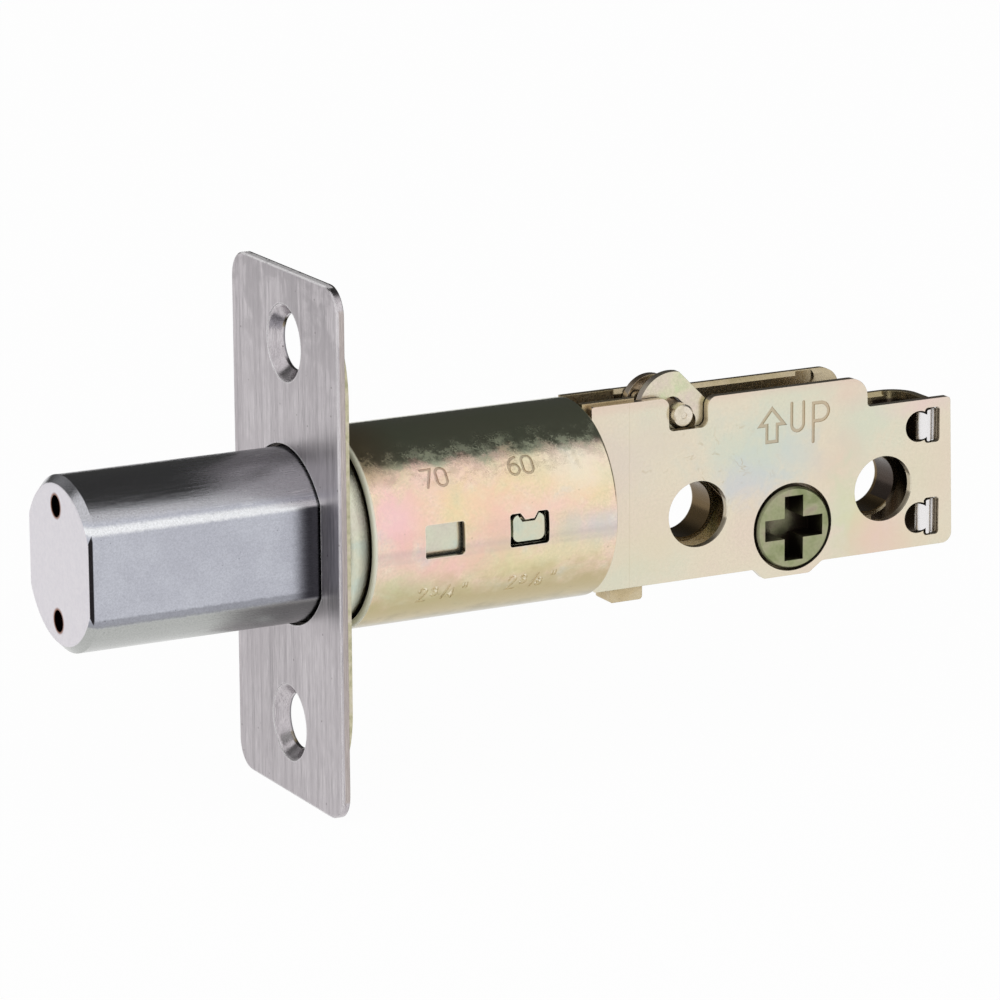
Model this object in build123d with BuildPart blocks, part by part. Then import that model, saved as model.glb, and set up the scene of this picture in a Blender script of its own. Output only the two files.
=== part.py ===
# Adjustable tubular latch: round-sided bolt, faceplate, telescoping tube and crank case.
# Origin: centre of the faceplate's front face. +X runs into the door, +Z is up, and the
# bolt points to -X. Rest pose: bolt thrown, short backset. Millimetres throughout.
import os
from math import atan2, cos, degrees, hypot, radians, sin

from build123d import *

os.makedirs("parts", exist_ok=True)

# Setting out
backset = 60.0  # faceplate front to hub centre
backset_step = 10.0  # travel from the short backset to the long one
throw = 25.4  # bolt travel
nose_proud = 0.6  # how far the drawn-back bolt still stands out of the faceplate

# Faceplate and its backing plate
face_height = 57.15
face_width = 25.4
face_thickness = 0.9
face_corner = 3.0
face_edge = 0.2
back_thickness = 0.7
back_side_inset = 0.6
back_end_inset = 0.375
back_end_flat = 0.6  # half of the straight stretch between its end corners
face_screw_inset = 7.925  # from each end of the faceplate
face_screw_hole = 6.0
dish_diameter = 8.3
dish_depth = 1.6
dish_land = 0.4
dish_wall = 0.7

# Bolt
bolt_flat_depth = 1.4  # how far each flat lies inside the round
bolt_embed = 6.5  # length behind the faceplate's front when thrown
bolt_bevel = 0.8
flat_bevel = 0.28
bolt_long_edge = 0.8
saw_pin_diameter = 2.3
saw_pin_spacing = 12.3
saw_pin_to_bar = 1.9  # from a pin's rear end to the draw bar
saw_pin_recess = 1.6
saw_pin_side = 0.5
bolt_pin_diameter = 3.0
bolt_pin_back = 4.5  # from the bolt's rear end
bolt_pin_height = 1.2

# Tubes
tube_diameter = 21.7
tube_wall = 0.65
tube_front = 5.0
tube_rear = 34.0
tube_front_edge = 0.4
tube_rear_edge = 0.3
sleeve_wall = 0.4
sleeve_rear = 29.5
window_length = 4.65
window_height = 3.6
window_corner = 0.35
window_rise = 0.1
long_window_front = 11.0

# Hub and crank
hub_height = -6.0
hub_diameter = 9.3
cross_length = 7.3
cross_width = 2.35
hub_web = 1.0  # solid between the two cross slots
crank_thickness = 1.0
crank_rest_lean = 44.8  # degrees forward of upright, bolt thrown
pin_diameter = 2.4
pin_reach = 20.5  # hub centre to pin, bolt thrown
pin_back_height = 9.0  # pin's height with the bolt drawn back
pin_back_travel = 25.9
pin_end_proud = 1.0

# Case of two side plates, set out from the hub and the pin's two end places
case_width = 7.2
plate_thickness = 0.9
plate_tube_gap = 0.7
plate_past_hub = 20.15
plate_rake = 0.4  # how much further back the lower rear corner stands
plate_below_hub = 4.15
plate_above_hub = 16.0
front_step = 0.45  # how far the front corner stands over the upper edge
notch_before_pin = 0.12
notch_width = 4.85
notch_under_pin = 0.65
step_before_pin = 0.9
rear_top_under_pin = 1.2
far_rear_drop = 0.2
tongue_half_height = 8.0
screw_passage_diameter = 7.4
far_passage_diameter = 6.6
collar_wall = 0.5  # drawn collars round the far plate's screw passages
collar_reach = 3.1
screw_passage_front = 12.1  # hub centre to each screw passage
screw_passage_rear = 11.5
screw_passage_above_hub = 3.05
lip_depth = 1.2
lip_front_foot = 5.0  # the lip's four corners along the case, from the hub's centre
lip_front = 3.8
lip_rear = 2.0
lip_rear_foot = 3.7

# Draw bar, yoke and end cap
bar_thickness = 1.5
bar_lead = 5.5  # how far the bar runs past the bolt pin's foremost place
yoke_sheet = 0.6
end_cap_thickness = 1.4
ear_thickness = 0.8
ear_reach = 6.4
lug_lead = 3.45
lug_length = 4.0
lug_depth = 3.2

# Clearances
slide_clearance = 0.2
tube_clearance = 0.3  # between the outer tube and the sleeve
sleeve_clearance = 0.15  # between the sleeve and the bolt
bolt_clearance = 0.35
hub_clearance = 0.32
hub_settle = 0.13  # how far the hub sits back and down in its holes
plate_gap = 0.15
pin_clearance = 0.12
mark_depth = 0.12

# Derived places
tube_outer = tube_diameter / 2
tube_inner = tube_outer - tube_wall
sleeve_outer = tube_inner - tube_clearance
sleeve_inner = sleeve_outer - sleeve_wall
bolt_radius = sleeve_inner - sleeve_clearance
bolt_flat_width = 2 * (bolt_radius - bolt_flat_depth)
bolt_nose = -(throw + nose_proud)
face_rear = face_thickness
face_screw_z = face_height / 2 - face_screw_inset
back_width = face_width - 2 * back_side_inset
back_height = face_height - 2 * back_end_inset
back_corner = back_width / 2 - back_end_flat
hub_radius = hub_diameter / 2
pin_radius = pin_diameter / 2
plate_outer = case_width / 2
plate_inner = plate_outer - plate_thickness
crank_outer = plate_inner - plate_gap
crank_inner = crank_outer - crank_thickness
bar_half = bar_thickness / 2
yoke_outer = bar_half + yoke_sheet
lean = radians(crank_rest_lean)
pin_x = backset - pin_reach * sin(lean)
pin_z = hub_height + pin_reach * cos(lean)
back_run = pin_x + pin_back_travel - backset
pin_back_reach = hypot(back_run, pin_back_height - hub_height)
bolt_pin_x = bolt_embed - bolt_pin_back
plate_front = tube_rear + plate_tube_gap
plate_rear = backset + plate_past_hub
plate_bottom = hub_height - plate_below_hub
plate_high_top = hub_height + plate_above_hub
plate_front_top = plate_high_top + front_step
plate_rear_top = pin_back_height - pin_radius - rear_top_under_pin
notch_front = pin_x - pin_radius - notch_before_pin
notch_rear = notch_front + notch_width
notch_floor = pin_z - pin_radius - notch_under_pin
step_rear = backset + back_run - pin_radius - step_before_pin
screw_passage_z = hub_height + screw_passage_above_hub
screw_passages = (
    (backset - screw_passage_front, screw_passage_z),
    (backset + screw_passage_rear, screw_passage_z),
)


def upright(distance):
    """Plane facing the near side, a distance in front of the bolt's centre plane."""
    return Plane.XZ.offset(distance)


def across(distance):
    """Plane facing the rear, a distance behind the faceplate's front."""
    return Plane.YZ.offset(distance)


def crank_plane(distance):
    """Plane of a crank arm: its upright direction runs from the hub to the pin."""
    return Plane(
        origin=(backset, -distance, hub_height),
        x_dir=(cos(lean), 0, sin(lean)),
        z_dir=(0, -1, 0),
    )


def tube_mark_plane(x, angle):
    """Plane touching the tube, at an angle above its near side."""
    turn = radians(angle)
    return Plane(
        origin=(x, -tube_outer * cos(turn), tube_outer * sin(turn)),
        x_dir=(1, 0, 0),
        z_dir=(0, -cos(turn), sin(turn)),
    )


# Faceplate: brushed strip with two pressed screw dishes and a keyed bolt hole
dish_radius = dish_diameter / 2
keyed_radius = bolt_radius + bolt_clearance
keyed_width = bolt_flat_width + 2 * bolt_clearance
screw_radius = face_screw_hole / 2
dish_edge = 0.9
with BuildPart() as faceplate:
    with BuildSketch(across(0)):
        RectangleRounded(face_width, face_height, face_corner)
    extrude(amount=face_thickness)
    fillet(faceplate.faces().sort_by(Axis.X)[0].edges(), face_edge)
    with BuildSketch(across(0)):
        Circle(keyed_radius)
        Rectangle(keyed_width, 2 * keyed_radius, mode=Mode.INTERSECT)
    extrude(amount=face_thickness, mode=Mode.SUBTRACT)
    with BuildSketch(across(0)):
        with Locations((0, face_screw_z), (0, -face_screw_z)):
            Circle(dish_radius)
    extrude(amount=face_thickness, mode=Mode.SUBTRACT)
    for side in (1, -1):
        with BuildSketch(Plane(origin=(0, 0, side * face_screw_z), x_dir=(0, 1, 0), z_dir=(0, 0, 1))):
            with BuildLine():
                FilletPolyline(
                    (screw_radius, -dish_depth),
                    (screw_radius + dish_wall, -dish_depth),
                    (dish_radius + dish_wall, -face_thickness),
                    (dish_radius + dish_wall, 0),
                    (dish_radius, 0),
                    (screw_radius, dish_land - dish_depth),
                    radius=(0, 0, 0, 0, dish_edge, 0),
                    close=True,
                )
            make_face()
        revolve(axis=Axis((0, 0, side * face_screw_z), (1, 0, 0)), revolution_arc=360)
faceplate.part.label = "faceplate"
export_step(faceplate.part, "parts/faceplate.step")

# Backing plate behind the faceplate, with a round hole that grips the sleeve
dish_hole = dish_radius + dish_wall + slide_clearance
with BuildPart() as back_plate:
    with BuildSketch(across(face_rear)):
        RectangleRounded(back_width, back_height, back_corner)
        Circle(sleeve_outer, mode=Mode.SUBTRACT)
        with Locations((0, face_screw_z), (0, -face_screw_z)):
            Circle(dish_hole, mode=Mode.SUBTRACT)
    extrude(amount=back_thickness)
back_plate.part.label = "back_plate"
export_step(back_plate.part, "parts/back_plate.step")

# Outer tube with two setting windows and stamped sizes
short_window_front = long_window_front + backset_step
window_middle = window_length / 2
tongue_top = 2.1
tongue_foot = 1.1
tongue_drop = 0.7
window_top = window_rise + window_height / 2
with BuildPart() as outer_tube:
    with BuildSketch(across(tube_front)):
        Circle(tube_outer)
    extrude(amount=tube_rear - tube_front)
    fillet(outer_tube.edges().filter_by(GeomType.CIRCLE).sort_by(Axis.X)[0], tube_front_edge)
    fillet(outer_tube.edges().filter_by(GeomType.CIRCLE).sort_by(Axis.X)[-1], tube_rear_edge)
    with BuildSketch(across(tube_front)):
        Circle(tube_inner)
    extrude(amount=tube_rear - tube_front, mode=Mode.SUBTRACT)
    with BuildSketch(upright(0)):
        for front in (long_window_front, short_window_front):
            with Locations((front + window_middle, window_rise)):
                RectangleRounded(window_length, window_height, window_corner)
        with BuildLine():
            Polyline(
                (short_window_front + window_middle - tongue_top / 2, window_top),
                (short_window_front + window_middle + tongue_top / 2, window_top),
                (short_window_front + window_middle + tongue_foot / 2, window_top - tongue_drop),
                (short_window_front + window_middle - tongue_foot / 2, window_top - tongue_drop),
                close=True,
            )
        make_face(mode=Mode.SUBTRACT)
    extrude(amount=tube_diameter, mode=Mode.SUBTRACT)

def stroke(kind, points, scale, slim, corner, width):
    """One line or arc of a stamped character, with round ends."""
    placed = [(corner[0] + slim * scale * u, corner[1] + scale * v) for u, v in points]
    with BuildLine() as path:
        if kind == "arc":
            ThreePointArc(*placed)
        else:
            Polyline(*placed)
    trace(path.line, line_width=width)
    with Locations(placed[0], placed[-1]):
        Circle(width / 2)


# Stamped characters on a cell one unit high: strokes as arcs through three points, or lines
character_width = 0.58
character_pitch = 0.83
characters = {
    "0": (
        ("arc", ((0, 0.7), (0.29, 1), (0.58, 0.7))),
        ("line", ((0.58, 0.7), (0.58, 0.3))),
        ("arc", ((0.58, 0.3), (0.29, 0), (0, 0.3))),
        ("line", ((0, 0.3), (0, 0.7))),
    ),
    "2": (
        ("arc", ((0, 0.72), (0.29, 1), (0.58, 0.7))),
        ("line", ((0.58, 0.7), (0, 0), (0.6, 0))),
    ),
    "3": (
        ("arc", ((0.03, 0.82), (0.5, 0.8), (0.22, 0.54))),
        ("arc", ((0.22, 0.54), (0.56, 0.26), (0.02, 0.18))),
    ),
    "4": (("line", ((0.45, 0), (0.45, 1), (0, 0.3), (0.6, 0.3))),),
    "6": (
        ("arc", ((0, 0.3), (0.29, 0.59), (0.58, 0.3))),
        ("arc", ((0.58, 0.3), (0.29, 0.01), (0, 0.3))),
        ("arc", ((0, 0.3), (0.1, 0.76), (0.5, 1))),
    ),
    "7": (("line", ((0, 1), (0.58, 1), (0.2, 0))),),
    "8": (
        ("arc", ((0.06, 0.77), (0.29, 1), (0.52, 0.77))),
        ("arc", ((0.52, 0.77), (0.29, 0.54), (0.06, 0.77))),
        ("arc", ((0.02, 0.27), (0.29, 0.54), (0.56, 0.27))),
        ("arc", ((0.56, 0.27), (0.29, 0), (0.02, 0.27))),
    ),
    "/": (("line", ((0, 0), (0.45, 1))),),
    '"': (
        ("line", ((0.1, 1), (0.1, 0.72))),
        ("line", ((0.36, 1), (0.36, 0.72))),
    ),
    "U": (
        ("line", ((0, 1), (0, 0.24))),
        ("arc", ((0, 0.24), (0.24, 0), (0.48, 0.24))),
        ("line", ((0.48, 0.24), (0.48, 1))),
    ),
    "P": (
        ("line", ((0, 0), (0, 1.37), (0.3, 1.37))),
        ("arc", ((0.3, 1.37), (0.62, 1.05), (0.3, 0.73))),
        ("line", ((0.3, 0.73), (0, 0.73))),
    ),
}


def stamp(text, corner, height, width, slim=1.0):
    """Stamped text in the open sketch, from its lower left corner."""
    for place, character in enumerate(text):
        for kind, points in characters[character]:
            start = (corner[0] + place * character_pitch * slim * height, corner[1])
            stroke(kind, points, height, slim, start, width)


# Sizes stamped above and below the windows, sunk into the tube's skin
size_height = 2.0
size_start = -size_height * (character_pitch + character_width) / 2
size_places = (("70", 13.1, 36.6), ("60", 23.35, 37.4))
fraction_height = 1.9
fraction_foot = -fraction_height / 2
fraction_slim = 0.7
fraction_angle = -33.7
whole_left = -2.8  # places of its figures and strokes along the tube
over_left = -1.4
bar_left = 0.0
under_left = 0.65
inch_left = 2.2
over_height = 1.2
over_foot = -0.3
under_height = 1.1
fraction_places = (("3", "4", 13.8), ("3", "8", 24.4))
tube_stroke = 0.26
mark_reach = 4 * mark_depth
with BuildPart() as tube_marks:
    for text, middle, angle in size_places:
        with BuildSketch(tube_mark_plane(middle, angle)):
            stamp(text, (size_start, -size_height / 2), size_height, tube_stroke)
        extrude(amount=mark_reach, both=True)
    for over, under, middle in fraction_places:
        with BuildSketch(tube_mark_plane(middle, fraction_angle)):
            stamp("2", (whole_left, fraction_foot), fraction_height, tube_stroke, fraction_slim)
            stamp(over, (over_left, over_foot), over_height, tube_stroke)
            stamp("/", (bar_left, fraction_foot), fraction_height, tube_stroke, fraction_slim)
            stamp(under, (under_left, fraction_foot), under_height, tube_stroke)
            stamp('"', (inch_left, fraction_foot), fraction_height, tube_stroke, fraction_slim)
        extrude(amount=mark_reach, both=True)
    with BuildSketch(across(tube_front)):
        Circle(tube_diameter)
        Circle(tube_outer - mark_depth, mode=Mode.SUBTRACT)
    extrude(amount=tube_rear - tube_front, mode=Mode.INTERSECT)
with outer_tube:
    add(tube_marks.part, mode=Mode.SUBTRACT)
outer_tube.part.label = "outer_tube"
export_step(outer_tube.part, "parts/outer_tube.step")

# Inner sleeve: slides in the outer tube and carries the faceplate
catch_slot_play = 0.45
catch_length = 3.75
catch_height = 2.9
catch_rise = 0.2
catch_front = short_window_front + (window_length - catch_length) / 2
catch_sheet = 0.4
catch_tail = 6.5
catch_rivet_x = 8.0
catch_rivet_radius = 0.8
with BuildPart() as inner_sleeve:
    with BuildSketch(across(face_rear)):
        Circle(sleeve_outer)
        Circle(sleeve_inner, mode=Mode.SUBTRACT)
    extrude(amount=sleeve_rear - face_rear)
    with BuildSketch(upright(0)):
        with Locations((catch_front + catch_length / 2, catch_rise)):
            Rectangle(catch_length + 2 * catch_slot_play, catch_height + 2 * catch_slot_play)
        with Locations((catch_rivet_x, 0)):
            Circle(catch_rivet_radius)
    extrude(amount=tube_diameter, mode=Mode.SUBTRACT)
inner_sleeve.part.label = "inner_sleeve"
export_step(inner_sleeve.part, "parts/inner_sleeve.step")

# Sprung catch: a leaf inside the sleeve with a pad that fills the short-backset window
leaf_clearance = 0.15
leaf_outer = sleeve_inner - leaf_clearance
leaf_half_height = 1.1
pad_sunk = 0.28
pad_radius = tube_outer - pad_sunk
pad_foot = leaf_outer - catch_sheet
pad_notch_top = 2.5
pad_notch_foot = 1.5
pad_notch_depth = 0.75
pad_corner = 0.7
pad_top = catch_rise + catch_height / 2
with BuildPart() as backset_catch:
    with BuildSketch(upright(pad_foot)):
        with Locations(((catch_tail + catch_front + catch_length) / 2, 0)):
            Rectangle(catch_front + catch_length - catch_tail, 2 * leaf_half_height)
        with Locations((catch_rivet_x, 0)):
            Circle(catch_rivet_radius, mode=Mode.SUBTRACT)
    extrude(amount=catch_sheet)
    with BuildSketch(upright(pad_foot)):
        with Locations((catch_front + catch_length / 2, catch_rise)):
            RectangleRounded(catch_length, catch_height, pad_corner)
        with BuildLine():
            Polyline(
                (catch_front + catch_length / 2 - pad_notch_top / 2, pad_top),
                (catch_front + catch_length / 2 + pad_notch_top / 2, pad_top),
                (catch_front + catch_length / 2 + pad_notch_foot / 2, pad_top - pad_notch_depth),
                (catch_front + catch_length / 2 - pad_notch_foot / 2, pad_top - pad_notch_depth),
                close=True,
            )
        make_face(mode=Mode.SUBTRACT)
    extrude(amount=tube_outer - pad_foot)
    with BuildSketch(across(catch_tail)):
        Circle(pad_radius)
    extrude(amount=tube_rear, mode=Mode.INTERSECT)
backset_catch.part.label = "backset_catch"
export_step(backset_catch.part, "parts/backset_catch.step")

# Rivet that holds the catch's tail inside the sleeve
rivet_head_radius = 1.2
rivet_head_height = 0.5
rivet_flush = 0.05
with BuildPart() as catch_rivet:
    with BuildSketch(upright(pad_foot - rivet_head_height)):
        with Locations((catch_rivet_x, 0)):
            Circle(rivet_head_radius)
    extrude(amount=rivet_head_height)
    with BuildSketch(upright(pad_foot)):
        with Locations((catch_rivet_x, 0)):
            Circle(catch_rivet_radius)
    extrude(amount=sleeve_outer - rivet_flush - pad_foot)
catch_rivet.part.label = "catch_rivet"
export_step(catch_rivet.part, "parts/catch_rivet.step")

# Draw bar: reaches into the bolt, with a long slot that lets the bolt be reset
bar_front = bolt_pin_x - backset_step - bar_lead
bar_deep_top = 6.4
bar_deep_bottom = -4.4
bar_step_x = 17.5
bar_rail_bottom = 1.7
pin_play_front = 0.25
pin_play_rear = 1.0
yoke_slot_front = pin_x - pin_play_front - pin_radius - pin_clearance
yoke_slot_rear = pin_x + pin_play_rear + pin_radius + pin_clearance
yoke_prong = 1.75
yoke_front = yoke_slot_front - yoke_prong
yoke_rear = yoke_slot_rear + yoke_prong
yoke_tail = 7.5
yoke_floor = 7.3
bar_end_inset = 1.0
bar_rear = yoke_rear - bar_end_inset
yoke_rivet_radius = 0.9
yoke_rivet_z = (bar_rail_bottom + bar_deep_top) / 2
yoke_rivet_leads = (5.3, 0.8)  # ahead of the saddle's upright part
yoke_rivet_places = [(yoke_front - lead, yoke_rivet_z) for lead in yoke_rivet_leads]
with BuildPart() as draw_bar:
    with BuildSketch(upright(-bar_half)):
        with BuildLine():
            FilletPolyline(
                (bar_front, bar_deep_bottom),
                (bar_step_x, bar_deep_bottom),
                (bar_step_x, bar_rail_bottom),
                (bar_rear, bar_rail_bottom),
                (bar_rear, bar_deep_top),
                (bar_front, bar_deep_top),
                radius=(1.0, 0.8, 0.8, 0.5, 0.5, 1.0),
                close=True,
            )
        make_face()
        with Locations((bolt_pin_x - backset_step / 2, bolt_pin_height)):
            SlotCenterToCenter(backset_step, bolt_pin_diameter + 2 * slide_clearance, mode=Mode.SUBTRACT)
        with Locations(*yoke_rivet_places):
            Circle(yoke_rivet_radius, mode=Mode.SUBTRACT)
    extrude(amount=bar_thickness)
draw_bar.part.label = "draw_bar"
export_step(draw_bar.part, "parts/draw_bar.step")

# Yoke: folded saddle riveted round the bar, whose upright slots take the crank pin
yoke_front_top = 10.4
yoke_rear_top = 9.9
with BuildPart() as pin_yoke:
    for start in (bar_half, -yoke_outer):
        with BuildSketch(upright(start)):
            with BuildLine():
                FilletPolyline(
                    (yoke_front - yoke_tail, bar_rail_bottom),
                    (yoke_rear, bar_rail_bottom),
                    (yoke_rear, yoke_rear_top),
                    (yoke_slot_rear, yoke_rear_top),
                    (yoke_slot_rear, yoke_floor),
                    (yoke_slot_front, yoke_floor),
                    (yoke_slot_front, yoke_front_top),
                    (yoke_front, yoke_front_top),
                    (yoke_front, bar_deep_top),
                    (yoke_front - yoke_tail, bar_deep_top),
                    radius=(0, 0, 0.7, 0.7, 0.9, 0.9, 0.7, 0.7, 0.8, 0.8),
                    close=True,
                )
            make_face()
            with Locations(*yoke_rivet_places):
                Circle(yoke_rivet_radius, mode=Mode.SUBTRACT)
        extrude(amount=yoke_sheet)
    with BuildSketch(upright(-yoke_outer)):
        with Locations((yoke_rear, bar_rail_bottom)):
            Rectangle(yoke_rear - yoke_front + yoke_tail, yoke_sheet, align=(Align.MAX, Align.MAX))
    extrude(amount=2 * yoke_outer)
pin_yoke.part.label = "pin_yoke"
export_step(pin_yoke.part, "parts/pin_yoke.step")

# Yoke rivets, flush with the saddle's cheeks
with BuildPart() as front_yoke_rivet:
    with BuildSketch(upright(-yoke_outer)):
        with Locations(yoke_rivet_places[0]):
            Circle(yoke_rivet_radius)
    extrude(amount=2 * yoke_outer)
front_yoke_rivet.part.label = "front_yoke_rivet"
export_step(front_yoke_rivet.part, "parts/front_yoke_rivet.step")
with BuildPart() as rear_yoke_rivet:
    with BuildSketch(upright(-yoke_outer)):
        with Locations(yoke_rivet_places[1]):
            Circle(yoke_rivet_radius)
    extrude(amount=2 * yoke_outer)
rear_yoke_rivet.part.label = "rear_yoke_rivet"
export_step(rear_yoke_rivet.part, "parts/rear_yoke_rivet.step")

# Bolt: round bar with two flats, chamfered nose, slot for the draw bar
bar_slot_half = bar_half + slide_clearance
bar_slot_play = 0.6
bar_slot_lead = 0.5
bar_slot_top = bar_deep_top + bar_slot_play
bar_slot_bottom = bar_deep_bottom - bar_slot_play
bar_slot_front = bar_front - bar_slot_lead
bolt_flat_half = bolt_flat_width / 2
saw_pin_radius = saw_pin_diameter / 2
saw_pin_z = saw_pin_spacing / 2
saw_pin_front = bolt_nose + saw_pin_recess
saw_pin_length = bar_front - saw_pin_to_bar - saw_pin_front
bolt_pin_radius = bolt_pin_diameter / 2
with BuildPart() as bolt_blank:
    with BuildSketch(Plane.XY):
        with BuildLine():
            Polyline(
                (bolt_nose, 0),
                (bolt_nose, bolt_radius - bolt_bevel),
                (bolt_nose + bolt_bevel, bolt_radius),
                (bolt_embed, bolt_radius),
                (bolt_embed, 0),
                close=True,
            )
        make_face()
    revolve(axis=Axis.X, revolution_arc=360)
with BuildPart() as bolt_head:
    with BuildSketch(across(bolt_nose)) as bolt_section:
        Circle(bolt_radius)
        Rectangle(bolt_flat_width, 2 * bolt_radius, mode=Mode.INTERSECT)
        fillet(bolt_section.vertices(), bolt_long_edge)
    extrude(amount=bolt_embed - bolt_nose)
    add(bolt_blank.part, mode=Mode.INTERSECT)
    with BuildSketch(Plane.XY):
        with BuildLine():
            Polyline(
                (bolt_nose, bolt_flat_half - flat_bevel),
                (bolt_nose + flat_bevel, bolt_flat_half),
                (bolt_embed, bolt_flat_half),
                (bolt_embed, -bolt_flat_half),
                (bolt_nose + flat_bevel, -bolt_flat_half),
                (bolt_nose, flat_bevel - bolt_flat_half),
                close=True,
            )
        make_face()
    extrude(amount=bolt_radius, both=True, mode=Mode.INTERSECT)
    with BuildSketch(upright(-bar_slot_half)):
        with Locations((bolt_embed, bar_slot_bottom)):
            Rectangle(
                bolt_embed - bar_slot_front,
                bar_slot_top - bar_slot_bottom,
                align=(Align.MAX, Align.MIN),
            )
    extrude(amount=2 * bar_slot_half, mode=Mode.SUBTRACT)
    with BuildSketch(across(bolt_nose)):
        with Locations((saw_pin_side, saw_pin_z), (saw_pin_side, -saw_pin_z)):
            Circle(saw_pin_radius)
    extrude(amount=saw_pin_recess + saw_pin_length, mode=Mode.SUBTRACT)
    with BuildSketch(upright(-bolt_radius)):
        with Locations((bolt_pin_x, bolt_pin_height)):
            Circle(bolt_pin_radius)
    extrude(amount=2 * bolt_radius, mode=Mode.SUBTRACT)
bolt_head.part.label = "bolt_head"
export_step(bolt_head.part, "parts/bolt_head.step")

# Hardened pins sunk lengthwise in the bolt against sawing
saw_pin_tip = 0.3
with BuildPart() as upper_saw_pin:
    with BuildSketch(across(saw_pin_front)):
        with Locations((saw_pin_side, saw_pin_z)):
            Circle(saw_pin_radius)
    extrude(amount=saw_pin_length)
    chamfer(upper_saw_pin.edges().filter_by(GeomType.CIRCLE).sort_by(Axis.X)[0], saw_pin_tip)
upper_saw_pin.part.label = "upper_saw_pin"
export_step(upper_saw_pin.part, "parts/upper_saw_pin.step")
with BuildPart() as lower_saw_pin:
    with BuildSketch(across(saw_pin_front)):
        with Locations((saw_pin_side, -saw_pin_z)):
            Circle(saw_pin_radius)
    extrude(amount=saw_pin_length)
    chamfer(lower_saw_pin.edges().filter_by(GeomType.CIRCLE).sort_by(Axis.X)[0], saw_pin_tip)
lower_saw_pin.part.label = "lower_saw_pin"
export_step(lower_saw_pin.part, "parts/lower_saw_pin.step")

# Cross pin that joins the bolt to the draw bar's long slot
bolt_pin_sunk = 0.15
bolt_pin_half = bolt_flat_half - bolt_pin_sunk
with BuildPart() as bolt_cross_pin:
    with BuildSketch(upright(-bolt_pin_half)):
        with Locations((bolt_pin_x, bolt_pin_height)):
            Circle(bolt_pin_radius)
    extrude(amount=2 * bolt_pin_half)
bolt_cross_pin.part.label = "bolt_cross_pin"
export_step(bolt_cross_pin.part, "parts/bolt_cross_pin.step")

# End cap: closes the tube's rear and holds the side plates' tongues
cap_front = tube_rear - end_cap_thickness
ear_outer = plate_inner
ear_inner = ear_outer - ear_thickness
ear_top = 10.7
ear_bottom = -9.4
floor_top = -9.1
floor_thickness = 1.05
cap_slot_half = bar_half + slide_clearance
cap_slot_margin = 0.25
lug_front_half = 2.6
lug_foot = 11.9
lug_front_corner = 0.3
lug_rear_corner = 0.4
floor_rear = tube_rear + lug_lead + lug_length
with BuildPart() as tube_end_cap:
    with BuildSketch(across(cap_front)):
        Circle(tube_inner)
        with Locations((0, cap_slot_margin + bar_deep_top)):
            Rectangle(
                2 * cap_slot_half,
                bar_deep_top - bar_deep_bottom + 2 * cap_slot_margin,
                align=(Align.CENTER, Align.MAX),
                mode=Mode.SUBTRACT,
            )
        with Locations(((plate_inner + plate_outer) / 2, 0), (-(plate_inner + plate_outer) / 2, 0)):
            Rectangle(plate_thickness, 2 * tongue_half_height, mode=Mode.SUBTRACT)
    extrude(amount=end_cap_thickness)
    for inner in (ear_inner, -ear_outer):
        with BuildSketch(upright(inner)):
            with Locations((tube_rear, ear_bottom)):
                Rectangle(
                    ear_reach,
                    ear_top - ear_bottom,
                    align=(Align.MIN, Align.MIN),
                )
        extrude(amount=ear_thickness)
    with BuildSketch(Plane.XY.offset(floor_top)):
        with Locations((tube_rear, 0)):
            Rectangle(
                floor_rear - tube_rear,
                2 * ear_outer,
                align=(Align.MIN, Align.CENTER),
            )
    extrude(amount=-floor_thickness)
    with BuildSketch(upright(lug_front_half - lug_depth)):
        with BuildLine():
            FilletPolyline(
                (floor_rear - lug_length, floor_top),
                (floor_rear - lug_length, -lug_foot),
                (floor_rear, -lug_foot),
                (floor_rear, floor_top),
                radius=(0, lug_front_corner, lug_rear_corner, 0),
                close=True,
            )
        make_face()
    extrude(amount=lug_depth)
tube_end_cap.part.label = "tube_end_cap"
export_step(tube_end_cap.part, "parts/tube_end_cap.step")

# Side plates share one outline, cut away over the pin's path
crimp_rear_inset = 1.34
crimp_width = 1.95
crimp_rear = plate_rear - crimp_rear_inset
crimp_front = crimp_rear - crimp_width
crimp_corner = 0.4
crimp_spans = ((1.6, 5.6), (-9.0, -4.7))
crimp_bulge = 2.5
crimp_bulge_radius = 1.76
hub_hole = hub_radius + hub_clearance
hub_hole_centre = (backset - hub_settle, hub_height + hub_settle)
arrow_ahead = 2.84  # of the hub's centre
arrow_x = backset - arrow_ahead
arrow_top = 7.77
arrow_outline = (
    (0, 0),
    (1.5, -1.8),
    (0.65, -1.8),
    (0.65, -3.7),
    (-0.65, -3.7),
    (-0.65, -1.8),
    (-1.5, -1.8),
    (0, 0),
)
plate_stroke = 0.38
letter_height = 3.15
letter_u_left = -0.35  # measured from the hub's centre
letter_u_foot = 4.95
letter_p_left = 2.4
letter_p_foot = 3.5
letters = (
    ("U", backset + letter_u_left, letter_u_foot),
    ("P", backset + letter_p_left, letter_p_foot),
)


def crimp_window(low, high, inset=0.0):
    """Window in the open sketch, or its shape drawn in by an inset: a slot with a round bulge."""
    middle = (low + high) / 2
    with Locations(((crimp_front + crimp_rear) / 2, middle)):
        RectangleRounded(crimp_width - 2 * inset, high - low - 2 * inset, crimp_corner - inset)
    with Locations((crimp_front - crimp_bulge + crimp_bulge_radius, middle)):
        Circle(crimp_bulge_radius - inset)


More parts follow.
